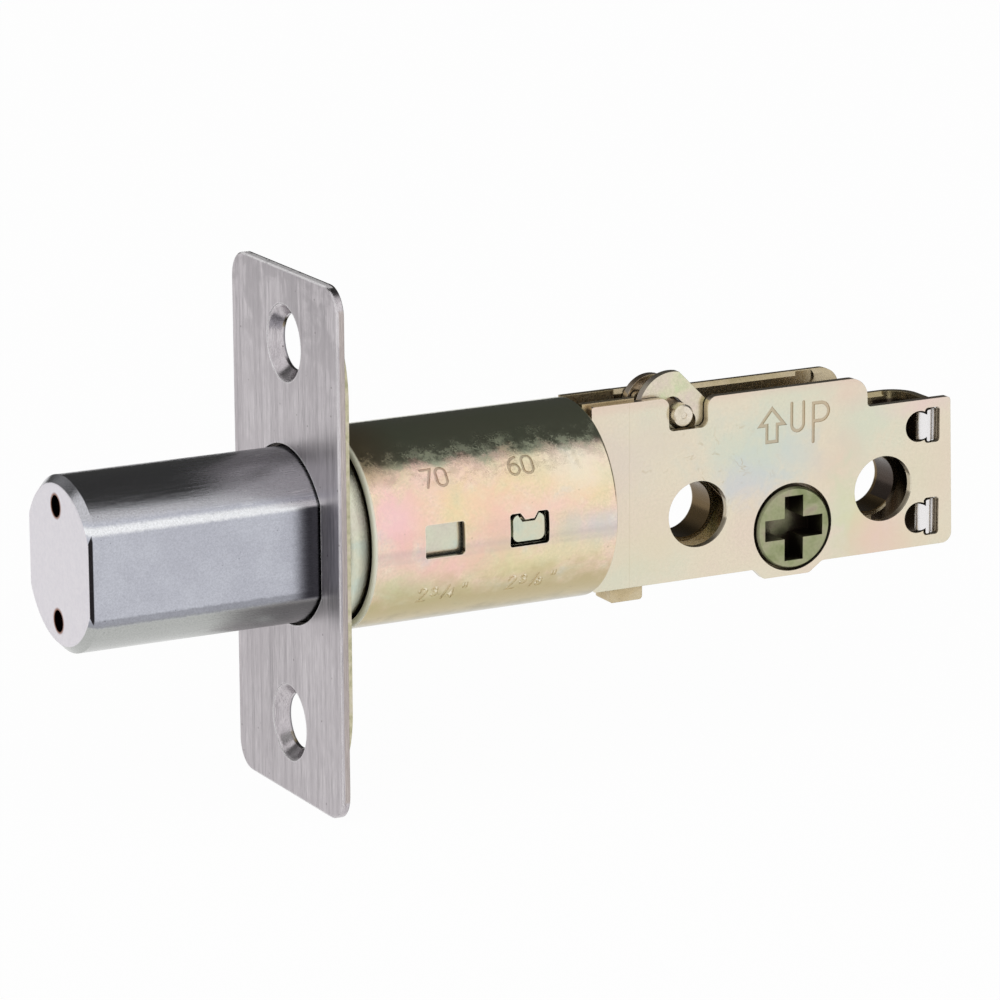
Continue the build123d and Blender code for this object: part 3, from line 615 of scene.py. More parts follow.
@dataclass(frozen=True)
class BrushedStainless(Finish):
    """Stainless strip with a fine upright grain, clouded patches and a few pits."""

    name: str = "brushed_stainless"
    tone: Colour = (0.50, 0.465, 0.485)
    shade: Colour = (0.27, 0.25, 0.265)
    light: Colour = (0.72, 0.68, 0.70)
    # hue of painted shade, beside the bolt and along the back line
    painted_shade_hue: Colour = (0.20, 0.19, 0.21)
    # pale rim colour: partly wear, partly a painted highlight on the front edges and ends
    wear_and_highlight_edge: Colour = (0.86, 0.84, 0.85)
    hues: tuple[Stop, ...] = ((0.3, shade), (0.5, tone), (0.7, light))
    streak: Pattern = Pattern(0.09, Along.Z, 5.0, 0.75)
    broad: Pattern = Pattern(0.8, Along.Z, 4.0, 0.65)
    cloud: Pattern = Pattern(5.0, detail=5.0, rough=0.6, warp=0.4)
    light_bands: Fade = (0.4, 0.62, (0.0, 0.5))
    dark_bands: Fade = (0.46, 0.3, (0.0, 0.35))
    even_clouds: Fade = (0.42, 0.62, (0.0, 0.55))
    # painted shade: the faceplate's upper part is darkened in cloudy patches
    top_shade_clouds: Pair = (0.44, 0.56)
    painted_shade_top: Zone = Zone(shade, 0.35, z=(14.0, 27.0))
    # painted shade: dark streaks on the faceplate beside the bolt, for the bolt's dark reflection
    painted_shade_beside_bolt: Zone = Zone(painted_shade_hue, 0.7, y=(-9.2, -10.6), z=(-8.6, -5.2, 4.2, 7.6))
    shade_streaks_beside_bolt: Pattern = Pattern(0.5, Along.Z, 4.0, 0.7)
    shade_fade_beside_bolt: Fade = (0.34, 0.6, (0.2, 1.0))
    rear_side: Zone = Zone((0.46, 0.40, 0.37), 0.75, x=(0.25, 0.4), y=(12.55, 12.65))
    # painted shade: a dark line near the faceplate's back, for the gap to the back plate
    painted_shade_back_line: Zone = Zone(painted_shade_hue, 0.8, x=(1.35, 1.5))
    mottle: Pair = (0.06, 0.6)
    ends: Zone = Zone(None, 1.0, x=(0.85, 0.6), z=(28.3, 28.5))
    front_rim: Zone = Zone(None, 1.0, x=(0.6, 0.4))
    rim_reach: float = 0.35
    rim_breaks: Pattern = Pattern(1.2)
    rim_fade: Fade = (0.25, 0.5, (0.55, 1.0))
    rim_metal: Fade = (0.2, 0.8, (1.0, 0.15))
    specks: Pits = Pits(1.5, 0.09, 0.7, (0.14, 0.12, 0.12))
    roughness: Fade = (0.3, 0.7, (0.3, 0.46))
    dish: Zone = Zone(None, 0.18, x=(0.02, 0.12, 1.5, 1.6))
    relief: float = 0.008
    relief_strength: float = 0.8
    edge: float = 0.12
    brushing: float = 0.5

    def make(self) -> bpy.types.Material:
        """Builds the material: long upright streaks over clouds, with pits.

        Returns:
            The material.
        """
        material, recipe = new_recipe(self.name)
        _, y, z = recipe.axes
        streak = recipe.noise(self.streak)
        broad = recipe.noise(self.broad)
        cloud = recipe.noise(self.cloud)
        colour = recipe.ramp(streak, self.hues)
        colour = recipe.mix(recipe.fade(broad, *self.light_bands), colour, self.light)
        colour = recipe.mix(recipe.fade(broad, *self.dark_bands), colour, self.shade)
        colour = recipe.mix(recipe.fade(cloud, *self.even_clouds), colour, self.tone)
        # painted shade toward the top of the faceplate
        colour = recipe.lay(colour, self.painted_shade_top, recipe.fade(cloud, *self.top_shade_clouds))
        # painted shade beside the bolt, broken into streaks
        streaks = recipe.fade(recipe.noise(self.shade_streaks_beside_bolt), *self.shade_fade_beside_bolt)
        colour = recipe.lay(colour, self.painted_shade_beside_bolt, streaks)
        colour = recipe.lay(colour, self.rear_side, y=recipe.calc("ABSOLUTE", y))
        colour = recipe.lay(colour, self.painted_shade_back_line)
        colour = recipe.mottled(colour, *self.mottle, Along.Z)
        # pale, less metallic front rim and ends: partly wear, partly a painted highlight
        ends_wear_and_highlight = recipe.zone(self.ends, z=recipe.calc("ABSOLUTE", z))
        worn = recipe.product(recipe.edges(self.rim_reach), recipe.zone(self.front_rim))
        broken = recipe.fade(recipe.noise(self.rim_breaks), *self.rim_fade)
        rim = recipe.product(recipe.calc("MAXIMUM", worn, ends_wear_and_highlight), broken)
        colour = recipe.pits(recipe.mix(rim, colour, self.wear_and_highlight_edge), self.specks)
        roughness = recipe.calc("SUBTRACT", recipe.fade(streak, *self.roughness), recipe.zone(self.dish))
        normal = recipe.bump(streak, self.relief, recipe.rounded(self.edge), self.relief_strength)
        recipe.metal(colour, roughness, normal, recipe.fade(rim, *self.rim_metal), self.brushing)
        return material


@dataclass(frozen=True)
class SatinChrome(Finish):
    """Satin chrome over a sawn bolt: fine scratches, pits and coppery hole rims."""

    name: str = "satin_chrome"
    tone: Colour = (0.485, 0.495, 0.555)
    light: Colour = (0.56, 0.575, 0.635)
    # near-white for the painted highlight on the flats' top edges and for the pale scratches
    highlight_and_scratch_hue: Colour = (0.84, 0.85, 0.87)
    shade: Colour = (0.055, 0.055, 0.065)
    cloud: Pattern = Pattern(5.0)
    cloud_fade: Fade = (0.4, 0.62, (0.0, 0.5))
    fray: Pattern = Pattern(0.5, detail=4.0, rough=0.7)
    fray_up: float = 0.5
    fray_along: float = 0.35
    top: Zone = Zone((0.50, 0.50, 0.53), 1.0, z=(5.6, 6.4))
    # painted highlight: a bright line where each flat meets the round
    painted_highlight_crest: Zone = Zone(highlight_and_scratch_hue, 1.0, z=(4.45, 4.95, 5.25, 5.75))
    # painted reflection: pale greenish grey below, for the floor's reflection
    under: Zone = Zone((0.45, 0.46, 0.445), 1.0, z=(-4.7, -5.3))
    # painted shade: a dark line along the flats' lower edges
    painted_shade_lower_line: Zone = Zone(shade, 0.4, z=(-5.2, -4.9, -4.4, -4.1))
    on_flat: Zone = Zone(None, 1.0, z=(-5.1, -4.75, 4.7, 5.05))
    # painted shade: the flat darkens toward the faceplate, for the faceplate's dark reflection
    painted_shade_flat_rear: Zone = Zone(shade, 0.95, x=(-3.4, -1.0))
    # painted shade: the underside darkens toward the faceplate
    painted_shade_below_rear: Zone = Zone(shade, 0.55, x=(-13.0, -3.0), z=(-5.0, -5.6))
    # painted reflection: a near-black line on the nose's chamfer beside the flats, for the dark surroundings
    bevel: Zone = Zone((0.02, 0.018, 0.02), 1.0, x=(-25.5, -25.62), y=(7.62, 7.68))
    mottle: Pair = (0.2, 0.35)
    end_face: Zone = Zone((0.79, 0.76, 0.795), 1.0, x=(-25.94, -25.99))
    end_shade: Colour = (0.72, 0.695, 0.74)
    end_cloud: Pattern = Pattern(0.6, detail=5.0, rough=0.7)
    end_fade: Fade = (0.35, 0.65, (0.0, 0.6))
    hole_side: float = 0.5
    hole_rise: float = 6.15
    hole_rim: Pair = (1.53, 1.17)
    rim: Colour = (0.26, 0.10, 0.05)
    bore_wall: Pair = (1.18, 1.15)
    bore: Zone = Zone((0.09, 0.045, 0.03), 1.0, x=(-22.0, -22.1))
    specks: Pits = Pits(0.9, 0.1, 0.55, (0.10, 0.10, 0.12))
    scratches: Lines = Lines(1.6, Along.X, 0.006)
    scratch_heights: Fade = (4.8, 6.0, (0.05, 0.4))
    scratch: Pattern = Pattern(0.22, Along.X, 4.0, 0.75)
    roughness: Fade = (0.25, 0.75, (0.12, 0.26))
    end_roughness: float = 0.2
    rubbed: Fade = (-16.0, -9.0, (0.0, 0.1))
    grain: Pattern = Pattern(0.16, rough=0.65)
    wander_share: float = 0.8
    pocks: Pattern = Pattern(0.7, rough=0.6)
    pocked: Fade = (-4.6, -1.5, (0.0, 2.2))
    relief: float = 0.008
    relief_heights: Fade = (5.5, 6.4, (0.25, 1.0))
    edge: float = 0.12

    def sides(self, recipe: Recipe) -> Socket:
        """Colour round the bolt: dull above, a painted highlight on the flats' top edges, blue-grey flats, a
        pale painted floor reflection below, and painted shade near the faceplate.

        Args:
            recipe: the material's recipe.

        Returns:
            The colour.
        """
        x, y, z = recipe.axes
        fray = recipe.noise(self.fray)
        level = recipe.calc("ADD", z, recipe.swing(fray, self.fray_up))
        along = recipe.calc("ADD", x, recipe.swing(fray, self.fray_along))
        cloud = recipe.fade(recipe.noise(self.cloud), *self.cloud_fade)
        colour = recipe.mix(cloud, self.tone, self.light)
        for zone in (self.top, self.painted_highlight_crest, self.under, self.painted_shade_lower_line):
            colour = recipe.lay(colour, zone, z=level)
        on_flat = recipe.zone(self.on_flat)
        colour = recipe.lay(colour, self.painted_shade_flat_rear, on_flat, x=along)
        colour = recipe.lay(colour, self.painted_shade_below_rear, x=along, z=level)
        return recipe.lay(colour, self.bevel, on_flat, y=recipe.calc("ABSOLUTE", y))

    def surface(self, recipe: Recipe, wander: Socket) -> Socket:
        """Normal of the bolt: fine grain, and pocks on the flat near the faceplate.

        Args:
            recipe: the material's recipe.
            wander: broad noise under the grain.

        Returns:
            The normal.
        """
        x, _, z = recipe.axes
        pocks = recipe.product(recipe.noise(self.pocks), recipe.fade(x, *self.pocked))
        relief = recipe.calc("ADD", recipe.noise(self.grain), recipe.product(wander, self.wander_share))
        relief = recipe.calc("ADD", relief, pocks)
        strength = recipe.fade(z, *self.relief_heights)
        return recipe.bump(relief, self.relief, recipe.rounded(self.edge), strength)

    def make(self) -> bpy.types.Material:
        """Builds the material; the sawn end face is paler and rougher than the sides.

        Returns:
            The material.
        """
        material, recipe = new_recipe(self.name)
        x, y, z = recipe.axes
        wander = recipe.noise(self.end_cloud)
        end = recipe.zone(self.end_face)
        face = recipe.mix(recipe.fade(wander, *self.end_fade), self.end_face.hue, self.end_shade)
        colour = recipe.mix(end, recipe.mottled(self.sides(recipe), *self.mottle), face)
        side = recipe.calc("SUBTRACT", y, self.hole_side)
        rise = recipe.calc("SUBTRACT", recipe.calc("ABSOLUTE", z), self.hole_rise)
        distance = recipe.distance(side, rise)
        rim = recipe.product(recipe.fade(distance, *self.hole_rim), end)
        colour = recipe.mix(rim, colour, self.rim)
        colour = recipe.lay(colour, self.bore, recipe.fade(distance, *self.bore_wall))
        colour = recipe.pits(colour, self.specks)
        scratches = recipe.product(recipe.lines(self.scratches), recipe.fade(z, *self.scratch_heights))
        colour = recipe.mix(scratches, colour, self.highlight_and_scratch_hue)
        roughness = recipe.fade(recipe.noise(self.scratch), *self.roughness)
        roughness = recipe.calc("ADD", roughness, recipe.product(end, self.end_roughness))
        roughness = recipe.calc("ADD", roughness, recipe.fade(x, *self.rubbed))
        recipe.metal(colour, roughness, self.surface(recipe, wander), 1.0)
        return material


@dataclass(frozen=True)
class PassivatedZinc(Finish):
    """Zinc plating with a chromate film: hues that drift over the piece."""

    name: str
    hues: tuple[Stop, ...]
    patch: float = 9.0
    metallic: float = 0.95
    roughness: Pair = (0.2, 0.36)
    edge: float = 0.06
    relief: float = 0.004
    relief_strength: float = 0.5
    grainy: float = 0.25
    grain: float = 0.3
    specks: Pits | None = flecks(0.25)
    shadow: Shadow | None = None
    fine: Pattern = Pattern(0.22, detail=4.0, rough=0.65)
    fray: float = 0.22
    shine: Pair = (0.3, 0.7)

    def film(self, recipe: Recipe, fine: Socket) -> Socket:
        """Colour of the film: swirled noise read off a ramp of hues.

        Args:
            recipe: the material's recipe.
            fine: fine noise that frays the borders between hues.

        Returns:
            The colour.
        """
        drift = recipe.noise(Pattern(self.patch, detail=2.5, rough=0.5, warp=0.35))
        place = recipe.calc("ADD", drift, recipe.swing(fine, self.fray))
        return recipe.mottled(recipe.ramp(place, self.hues), self.grain, self.grainy)

    def marks(self, recipe: Recipe, colour: Any) -> Any:
        """Hook for what a piece has over its film; nothing here."""
        return colour

    def worn(self, recipe: Recipe, roughness: Any) -> Any:
        """Hook for scratches that dull the film; none here."""
        return roughness

    def metal_share(self, recipe: Recipe) -> Any:
        """Hook for how metallic the film is; the same all over here."""
        return self.metallic

    def make(self) -> bpy.types.Material:
        """Builds the material: film, marks, specks, painted shade in the crevices and fine relief.

        Returns:
            The material.
        """
        material, recipe = new_recipe(self.name)
        fine = recipe.noise(self.fine)
        colour = self.marks(recipe, self.film(recipe, fine))
        if self.specks:
            colour = recipe.pits(colour, self.specks)
        if self.shadow:
            colour = recipe.shade(colour, self.shadow)
        roughness = self.worn(recipe, recipe.fade(fine, *self.shine, self.roughness))
        normal = recipe.bump(fine, self.relief, recipe.rounded(self.edge), self.relief_strength)
        recipe.metal(colour, roughness, normal, self.metal_share(recipe))
        return material


@dataclass(frozen=True)
class TubeZinc(PassivatedZinc):
    """The outer tube's film: pink and yellow on the side, gold below darkening as painted shade, scratched
    on top.
    """

    patches: tuple[Patch, ...] = ()
    radius: float = 10.85
    wander: Pattern = Pattern(2.6, detail=4.0, rough=0.65)
    wander_up: float = 4.5
    # gold and olive below: the film's hue, darkened toward the bottom as painted shade
    gold: Zone = Zone((0.50, 0.42, 0.22), 0.9, z=(-2.8, -7.4))
    olive: Zone = Zone((0.33, 0.28, 0.15), 0.85, z=(-8.2, -10.2))
    # painted reflection: a pale line along the bottom, for the floor's reflection
    hem: Zone = Zone((0.78, 0.76, 0.66), 0.7, z=(-10.2, -10.6))
    # painted reflection: a lilac band along the side, for a dark line in the surroundings
    band: Zone = Zone((0.50, 0.43, 0.43), 1.0, z=(-2.2, -1.6, -0.7, -0.1))
    band_breaks: Pattern = Pattern(4.5, Along.X)
    band_fade: Fade = (0.38, 0.62, (0.15, 0.8))
    # painted reflection: olive near the edge of the dark reflection on top
    crown: Zone = Zone((0.47, 0.52, 0.37), 0.9, z=(7.4, 8.4))
    front_brown: Zone = Zone((0.46, 0.34, 0.20), 0.75, x=(12.0, 5.5), z=(5.6, 7.6))
    # painted highlight: the front rim is pale and less metallic
    mouth: Zone = Zone((0.78, 0.79, 0.66), 0.95, x=(5.5, 5.2))
    mouth_metal: float = 0.1
    stroke_depths: Pair = (0.036, 0.084)
    strokes: tuple[Zone, ...] = (
        Zone((0.24, 0.17, 0.12), 0.53, x=(9.9, 10.0, 28.0, 28.1), z=(4.5, 4.6, 9.0, 9.1)),
        # painted light: the lower row's pale strokes stand in for highlights on the stamped fractions
        Zone((0.92, 0.84, 0.66), 0.6, x=(9.9, 10.0, 28.0, 28.1), z=(-8.9, -8.8, -4.4, -4.3)),
    )
    lip_depths: Pair = (0.06, 0.02)
    lip_reach: float = 0.2
    lip: Zone = Zone(PALE, 0.75, x=(6.0, 6.4), z=(-2.9, -2.6, 2.6, 2.9))
    # painted shade: the window walls, deep under the surface, made near black
    wall_depths: Pair = (0.18, 0.26)
    wall: Zone = Zone((0.07, 0.045, 0.024), 1.0, x=(6.0, 6.4))
    scratches: tuple[Lines, ...] = (
        Lines(0.8, Along.EVEN, 0.012),
        Lines(1.3, Along.X, 0.012),
        Lines(1.1, Along.Z, 0.012),
    )
    scratched: Zone = Zone(None, 0.3, x=(7.0, 12.0, 26.0, 31.0), z=(4.5, 6.4, 8.6, 10.5))
    hazed: Zone = Zone(None, 1.0, z=(4.5, 6.4, 8.6, 10.5))
    haze: Pattern = Pattern(1.8, detail=5.0, rough=0.72)
    haze_fade: Fade = (0.42, 0.66, (0.0, 0.24))

    def sunk(self, recipe: Recipe, depths: Pair) -> Socket:
        """Mask by depth below the tube's surface.

        Args:
            recipe: the material's recipe.
            depths: depths at which the mask is 0 and 1.

        Returns:
            The mask.
        """
        _, y, z = recipe.axes
        return recipe.fade(recipe.distance(y, z), *(self.radius - depth for depth in depths))

    def marks(self, recipe: Recipe, colour: Any) -> Any:
        """Lays the patches, the gold underside with painted shade, painted reflections in a band, on the
        crown and at the hem, a painted highlight on the mouth, the stamped strokes, dark above and painted
        light below, and painted shade on the window walls.

        Args:
            recipe: the material's recipe.
            colour: the film.

        Returns:
            The colour with its marks.
        """
        _, _, z = recipe.axes
        wander = recipe.swing(recipe.noise(self.wander), self.wander_up)
        level = recipe.calc("ADD", z, wander)
        colour = recipe.patches(colour, self.patches)
        colour = recipe.lay(colour, self.gold, z=level)
        colour = recipe.lay(colour, self.olive, z=level)
        colour = recipe.lay(colour, self.hem)
        colour = recipe.lay(colour, self.band, recipe.fade(recipe.noise(self.band_breaks), *self.band_fade))
        colour = recipe.lay(colour, self.crown, z=level)
        colour = recipe.lay(colour, self.front_brown)
        colour = recipe.lay(colour, self.mouth)
        sunk = self.sunk(recipe, self.stroke_depths)
        for zone in self.strokes:
            colour = recipe.lay(colour, zone, sunk)
        outside = self.sunk(recipe, self.lip_depths)
        colour = recipe.lay(colour, self.lip, recipe.edges(self.lip_reach), outside)
        return recipe.lay(colour, self.wall, self.sunk(recipe, self.wall_depths))

    def metal_share(self, recipe: Recipe) -> Any:
        """Film on the mouth's rim is less metallic, under its painted highlight; elsewhere it is metal."""
        inner, rim = self.mouth.x
        return recipe.fade(recipe.axes[0], rim, inner, (self.mouth_metal, self.metallic))

    def worn(self, recipe: Recipe, roughness: Any) -> Any:
        """Fine scratches and a hazed patch on top, which scatter the light.

        Args:
            recipe: the material's recipe.
            roughness: the film's roughness.

        Returns:
            The roughness with its wear.
        """
        even, along, across = (recipe.lines(lines) for lines in self.scratches)
        lines = recipe.calc("MAXIMUM", even, recipe.calc("MAXIMUM", along, across))
        haze = recipe.fade(recipe.noise(self.haze), *self.haze_fade)
        roughness = recipe.calc("ADD", roughness, recipe.product(haze, recipe.zone(self.hazed)))
        return recipe.calc("ADD", roughness, recipe.product(lines, recipe.zone(self.scratched)))


@dataclass(frozen=True)
class PlateZinc(PassivatedZinc):
    """The near plate's film: cream with faint rainbow patches and tan stamped marks."""

    patches: tuple[Patch, ...] = ()
    stain_hue: Colour = (0.50, 0.38, 0.23)
    rosy: Zone = Zone((0.78, 0.56, 0.48), 0.4, z=(8.9, 10.2))
    stains: Lines = Lines(3.0, Along.EVEN, 0.022)
    stained: Patch = Patch(51.0, 2.2, 8.5, 4.4, stain_hue, 0.4)
    stain_edge: Pattern = Pattern(2.0)
    crease: Zone = Zone(stain_hue, 0.12, x=(39.23, 39.3, 39.35, 39.42))
    strokes: Zone = Zone(
        (0.46, 0.34, 0.21),
        0.65,
        x=(54.3, 54.4, 66.0, 66.1),
        y=(-3.564, -3.516),
        z=(2.7, 2.8, 8.6, 8.7),
    )
    cut: Zone = Zone((0.30, 0.23, 0.13), 0.55, y=(-3.4, -3.28))

    def marks(self, recipe: Recipe, colour: Any) -> Any:
        """Lays the patches, a rosy top edge, faint stains and the tan stamped strokes.

        Args:
            recipe: the material's recipe.
            colour: the film.

        Returns:
            The colour with its marks.
        """
        colour = recipe.patches(colour, self.patches)
        colour = recipe.lay(colour, self.rosy)
        place = recipe.oval(self.stained, recipe.noise(self.stain_edge))
        stains = recipe.product(recipe.lines(self.stains), place)
        colour = recipe.mix(stains, colour, self.stain_hue)
        for zone in (self.crease, self.strokes, self.cut):
            colour = recipe.lay(colour, zone)
        return colour


@dataclass(frozen=True)
class FarPlateZinc(PassivatedZinc):
    """The far plate's film: brown inside as painted shade, dark in the screw collars, a painted highlight on
    the crimped tabs.
    """

    collars: tuple[Pair, ...] = ((47.9, -2.95), (71.5, -2.95))
    collar_radii: Pair = (3.5, 3.38)
    well: Colour = (0.15, 0.095, 0.035)
    # painted shade: near black inside the rear hollow
    hollow: Zone = Zone((0.05, 0.035, 0.03), 0.92, x=(73.8, 73.9, 80.0, 80.1), y=(3.1, 3.0), z=(5.8, 5.4))
    outer: Zone = Zone((0.78, 0.71, 0.56), 0.85, y=(3.45, 3.55))
    # painted highlight: near white on the crimped tabs' fronts
    tabs: Zone = Zone((0.86, 0.84, 0.84), 1.0, x=(73.8, 73.9, 80.0, 80.1), y=(-2.4, -2.6))

    def marks(self, recipe: Recipe, colour: Any) -> Any:
        """Darkens the collars by distance from their axes, paints shade in the rear hollow and a highlight
        on the tabs' fronts.

        Args:
            recipe: the material's recipe.
            colour: the film.

        Returns:
            The colour with its marks.
        """
        x, _, z = recipe.axes
        for middle_x, middle_z in self.collars:
            run = recipe.calc("SUBTRACT", x, middle_x)
            rise = recipe.calc("SUBTRACT", z, middle_z)
            inside = recipe.fade(recipe.distance(run, rise), *self.collar_radii)
            colour = recipe.mix(inside, colour, self.well)
        for zone in (self.hollow, self.outer, self.tabs):
            colour = recipe.lay(colour, zone)
        return colour


TUBE_ZINC = TubeZinc(
    "tube_zinc",
    (
        (0.3, (0.7, 0.66, 0.46)),
        (0.44, (0.84, 0.7, 0.5)),
        (0.54, (0.88, 0.66, 0.54)),
        (0.64, (0.86, 0.74, 0.58)),
        (0.74, (0.74, 0.72, 0.66)),
    ),
    patch=4.5,
    roughness=(0.09, 0.17),
    relief=0.014,
    edge=0.08,
    grainy=0.28,
    patches=(
        Patch(8.6, 2.0, 4.5, 4.9, PINK, 0.68),
        Patch(7.8, 3.0, 2.4, 2.3, (0.9, 0.6, 0.7), 0.4),
        Patch(14.4, 6.2, 5.4, 2.9, ROSE, 0.4),
        Patch(14.5, 2.8, 4.5, 3.5, YELLOW, 0.4),
        Patch(19.5, 3.8, 5.1, 2.9, YELLOW, 0.4),
        Patch(20.0, 0.6, 3.9, 3.8, PINK, 0.56),
        Patch(26.8, 4.8, 5.1, 2.9, YELLOW, 0.48),
        Patch(26.5, 2.0, 5.4, 2.3, ROSE, 0.48),
        Patch(31.6, -0.4, 4.2, 2.0, BLUE, 0.6),
        Patch(31.4, 3.6, 3.0, 3.5, YELLOW, 0.36),
        Patch(8.6, -5.0, 3.9, 2.9, GREEN, 0.6),
        Patch(13.0, -6.4, 5.4, 2.0, GREEN, 0.4),
        Patch(21.5, -3.6, 5.4, 2.6, (0.74, 0.7, 0.36), 0.56),
        Patch(13.5, -3.0, 6.0, 2.3, PINK, 0.52),
        Patch(28.0, -3.0, 5.4, 2.9, (0.8, 0.7, 0.44), 0.48),
        Patch(30.0, 6.4, 5.4, 2.6, PALE, 0.56),
    ),
)
PLATE_ZINC = PlateZinc(
    "plate_zinc",
    (
        (0.32, (0.74, 0.72, 0.57)),
        (0.44, (0.79, 0.72, 0.57)),
        (0.55, (0.8, 0.71, 0.56)),
        (0.68, (0.8, 0.68, 0.56)),
    ),
    patch=11.0,
    metallic=0.92,
    roughness=(0.14, 0.2),
    relief=0.0012,
    edge=0.06,
    specks=None,
    grainy=0.12,
    patches=(
        Patch(55.2, 3.0, 7.5, 4.3, (0.62, 0.7, 0.62), 0.6),
        Patch(53.6, -0.4, 4.5, 2.6, (0.62, 0.62, 0.7), 0.52),
        Patch(59.0, 2.0, 5.1, 2.9, (0.62, 0.68, 0.66), 0.48),
        Patch(68.3, 4.2, 4.2, 4.6, (0.62, 0.74, 0.6), 0.56),
        Patch(66.0, 1.2, 3.6, 4.3, (0.82, 0.62, 0.5), 0.52),
        Patch(66.8, 8.4, 3.0, 2.0, (0.82, 0.58, 0.5), 0.4),
        Patch(67.0, -5.6, 3.0, 5.2, (0.62, 0.74, 0.5), 0.6),
        Patch(68.8, -6.6, 2.7, 3.8, (0.8, 0.68, 0.42), 0.52),
        Patch(70.6, -8.2, 3.9, 2.6, (0.86, 0.58, 0.54), 0.52),
        Patch(74.8, -8.6, 4.5, 2.0, (0.8, 0.66, 0.48), 0.48),
        Patch(39.5, 4.5, 4.8, 4.6, (0.72, 0.68, 0.6), 0.32),
        Patch(44.0, 6.6, 4.5, 2.6, (0.76, 0.66, 0.54), 0.4),
        Patch(42.0, -6.0, 6.0, 3.8, (0.76, 0.68, 0.5), 0.4),
        Patch(77.0, 6.4, 4.5, 1.7, (0.84, 0.6, 0.6), 0.52),
        Patch(80.0, 0.0, 2.4, 5.8, (0.8, 0.66, 0.54), 0.4),
        Patch(75.6, -1.0, 3.6, 2.6, (0.72, 0.7, 0.52), 0.32),
    ),
)
# brown hues: painted shade, a darker copy of the cream film for the plate's inside; the outer zone gives the
# outer face its cream
FAR_ZINC = FarPlateZinc(
    "far_plate_zinc",
    ((0.3, (0.42, 0.35, 0.2)), (0.5, (0.54, 0.45, 0.29)), (0.7, (0.64, 0.55, 0.4))),
    patch=6.0,
    roughness=(0.2, 0.32),
    shadow=Shadow(5.0, 0.35, 0.72),
)
HUB_ZINC = PassivatedZinc(
    "hub_zinc",
    (
        (0.34, (0.27, 0.3, 0.15)),
        (0.46, (0.35, 0.37, 0.21)),
        (0.58, (0.4, 0.39, 0.25)),
        (0.7, (0.38, 0.33, 0.24)),
    ),
    patch=2.4,
    metallic=0.85,
    roughness=(0.28, 0.4),
    relief=0.008,
    specks=flecks(0.1),
    shadow=Shadow(3.0, 0.72, 0.86, (0.026, 0.017, 0.011)),
)
ARM_ZINC = PassivatedZinc(
    "near_arm_zinc",
    ((0.32, (0.6, 0.68, 0.42)), (0.48, (0.72, 0.68, 0.5)), (0.66, (0.74, 0.64, 0.54))),
    patch=3.0,
    roughness=(0.16, 0.26),
    relief=0.002,
    shadow=Shadow(1.6, 0.3, 0.6),
)
# brown hues: painted shade, a darker copy of the arm's film for the far arm inside the case
FAR_ARM_ZINC = PassivatedZinc(
    "far_arm_zinc",
    ((0.35, (0.4, 0.3, 0.2)), (0.65, (0.6, 0.52, 0.42))),
    patch=4.0,
    roughness=(0.18, 0.28),
    edge=0.12,
)
END_ZINC = PassivatedZinc(
    "pin_end_zinc",
    ((0.35, (0.74, 0.66, 0.52)), (0.65, (0.82, 0.74, 0.62))),
    patch=2.0,
    roughness=(0.25, 0.36),
    edge=0.1,
    specks=None,
)
SLEEVE_ZINC = PassivatedZinc(
    "sleeve_zinc",
    ((0.32, (0.56, 0.64, 0.56)), (0.48, (0.68, 0.68, 0.54)), (0.66, (0.66, 0.62, 0.52))),
    patch=5.0,
    roughness=(0.16, 0.26),
    relief=0.002,
    specks=flecks(0.5),
    grainy=0.15,
    shadow=Shadow(1.5, 0.82, 0.93, (0.03, 0.022, 0.014), (7.5, 6.5)),
)
CATCH_ZINC = PassivatedZinc(
    "catch_zinc",
    ((0.32, (0.5, 0.6, 0.52)), (0.5, (0.66, 0.68, 0.54)), (0.68, (0.72, 0.66, 0.5))),
    patch=3.0,
    roughness=(0.14, 0.22),
    relief=0.002,
    edge=0.1,
    specks=None,
    grainy=0.1,
)
STRIP_ZINC = PassivatedZinc(
    "strip_zinc",
    ((0.3, (0.46, 0.44, 0.28)), (0.5, (0.62, 0.58, 0.4)), (0.7, (0.68, 0.62, 0.5))),
    patch=1.2,
    metallic=0.8,
    roughness=(0.35, 0.5),
    relief=0.012,
    specks=flecks(0.8),
)
# darker gold for the pieces inside the case: the film's hue, darkened in part as painted shade
GOLD_ZINC = PassivatedZinc(
    "gold_zinc",
    ((0.3, (0.44, 0.35, 0.18)), (0.5, (0.58, 0.47, 0.29)), (0.7, (0.64, 0.55, 0.38))),
    patch=5.0,
    roughness=(0.24, 0.34),
    edge=0.1,
    relief=0.0015,
    grainy=0.15,
    shadow=Shadow(3.0, 0.3, 0.6),
)
PIN_STEEL = PassivatedZinc(
    "pin_steel",
    ((0.3, (0.3, 0.24, 0.2)), (0.5, (0.48, 0.42, 0.38)), (0.7, (0.66, 0.62, 0.58))),
    patch=1.5,
    roughness=(0.25, 0.4),
)


Finishes = tuple[tuple[Finish, tuple[str, ...]], ...]


@dataclass(frozen=True)
class Assembly:
    """Pieces that belong together, with the finish that each takes."""

    finishes: Finishes

    def dress(self, nodes: dict[str, bpy.types.Object]) -> None:
        """Gives the pieces their finishes.

        Args:
            nodes: the frame's objects by name.
        """
        for finish, names in self.finishes:
            material = finish.make()
            for name in names:
                materials = nodes[name].data.materials
                materials.clear()
                materials.append(material)
                LOG.info("%s: %s", name, material.name)


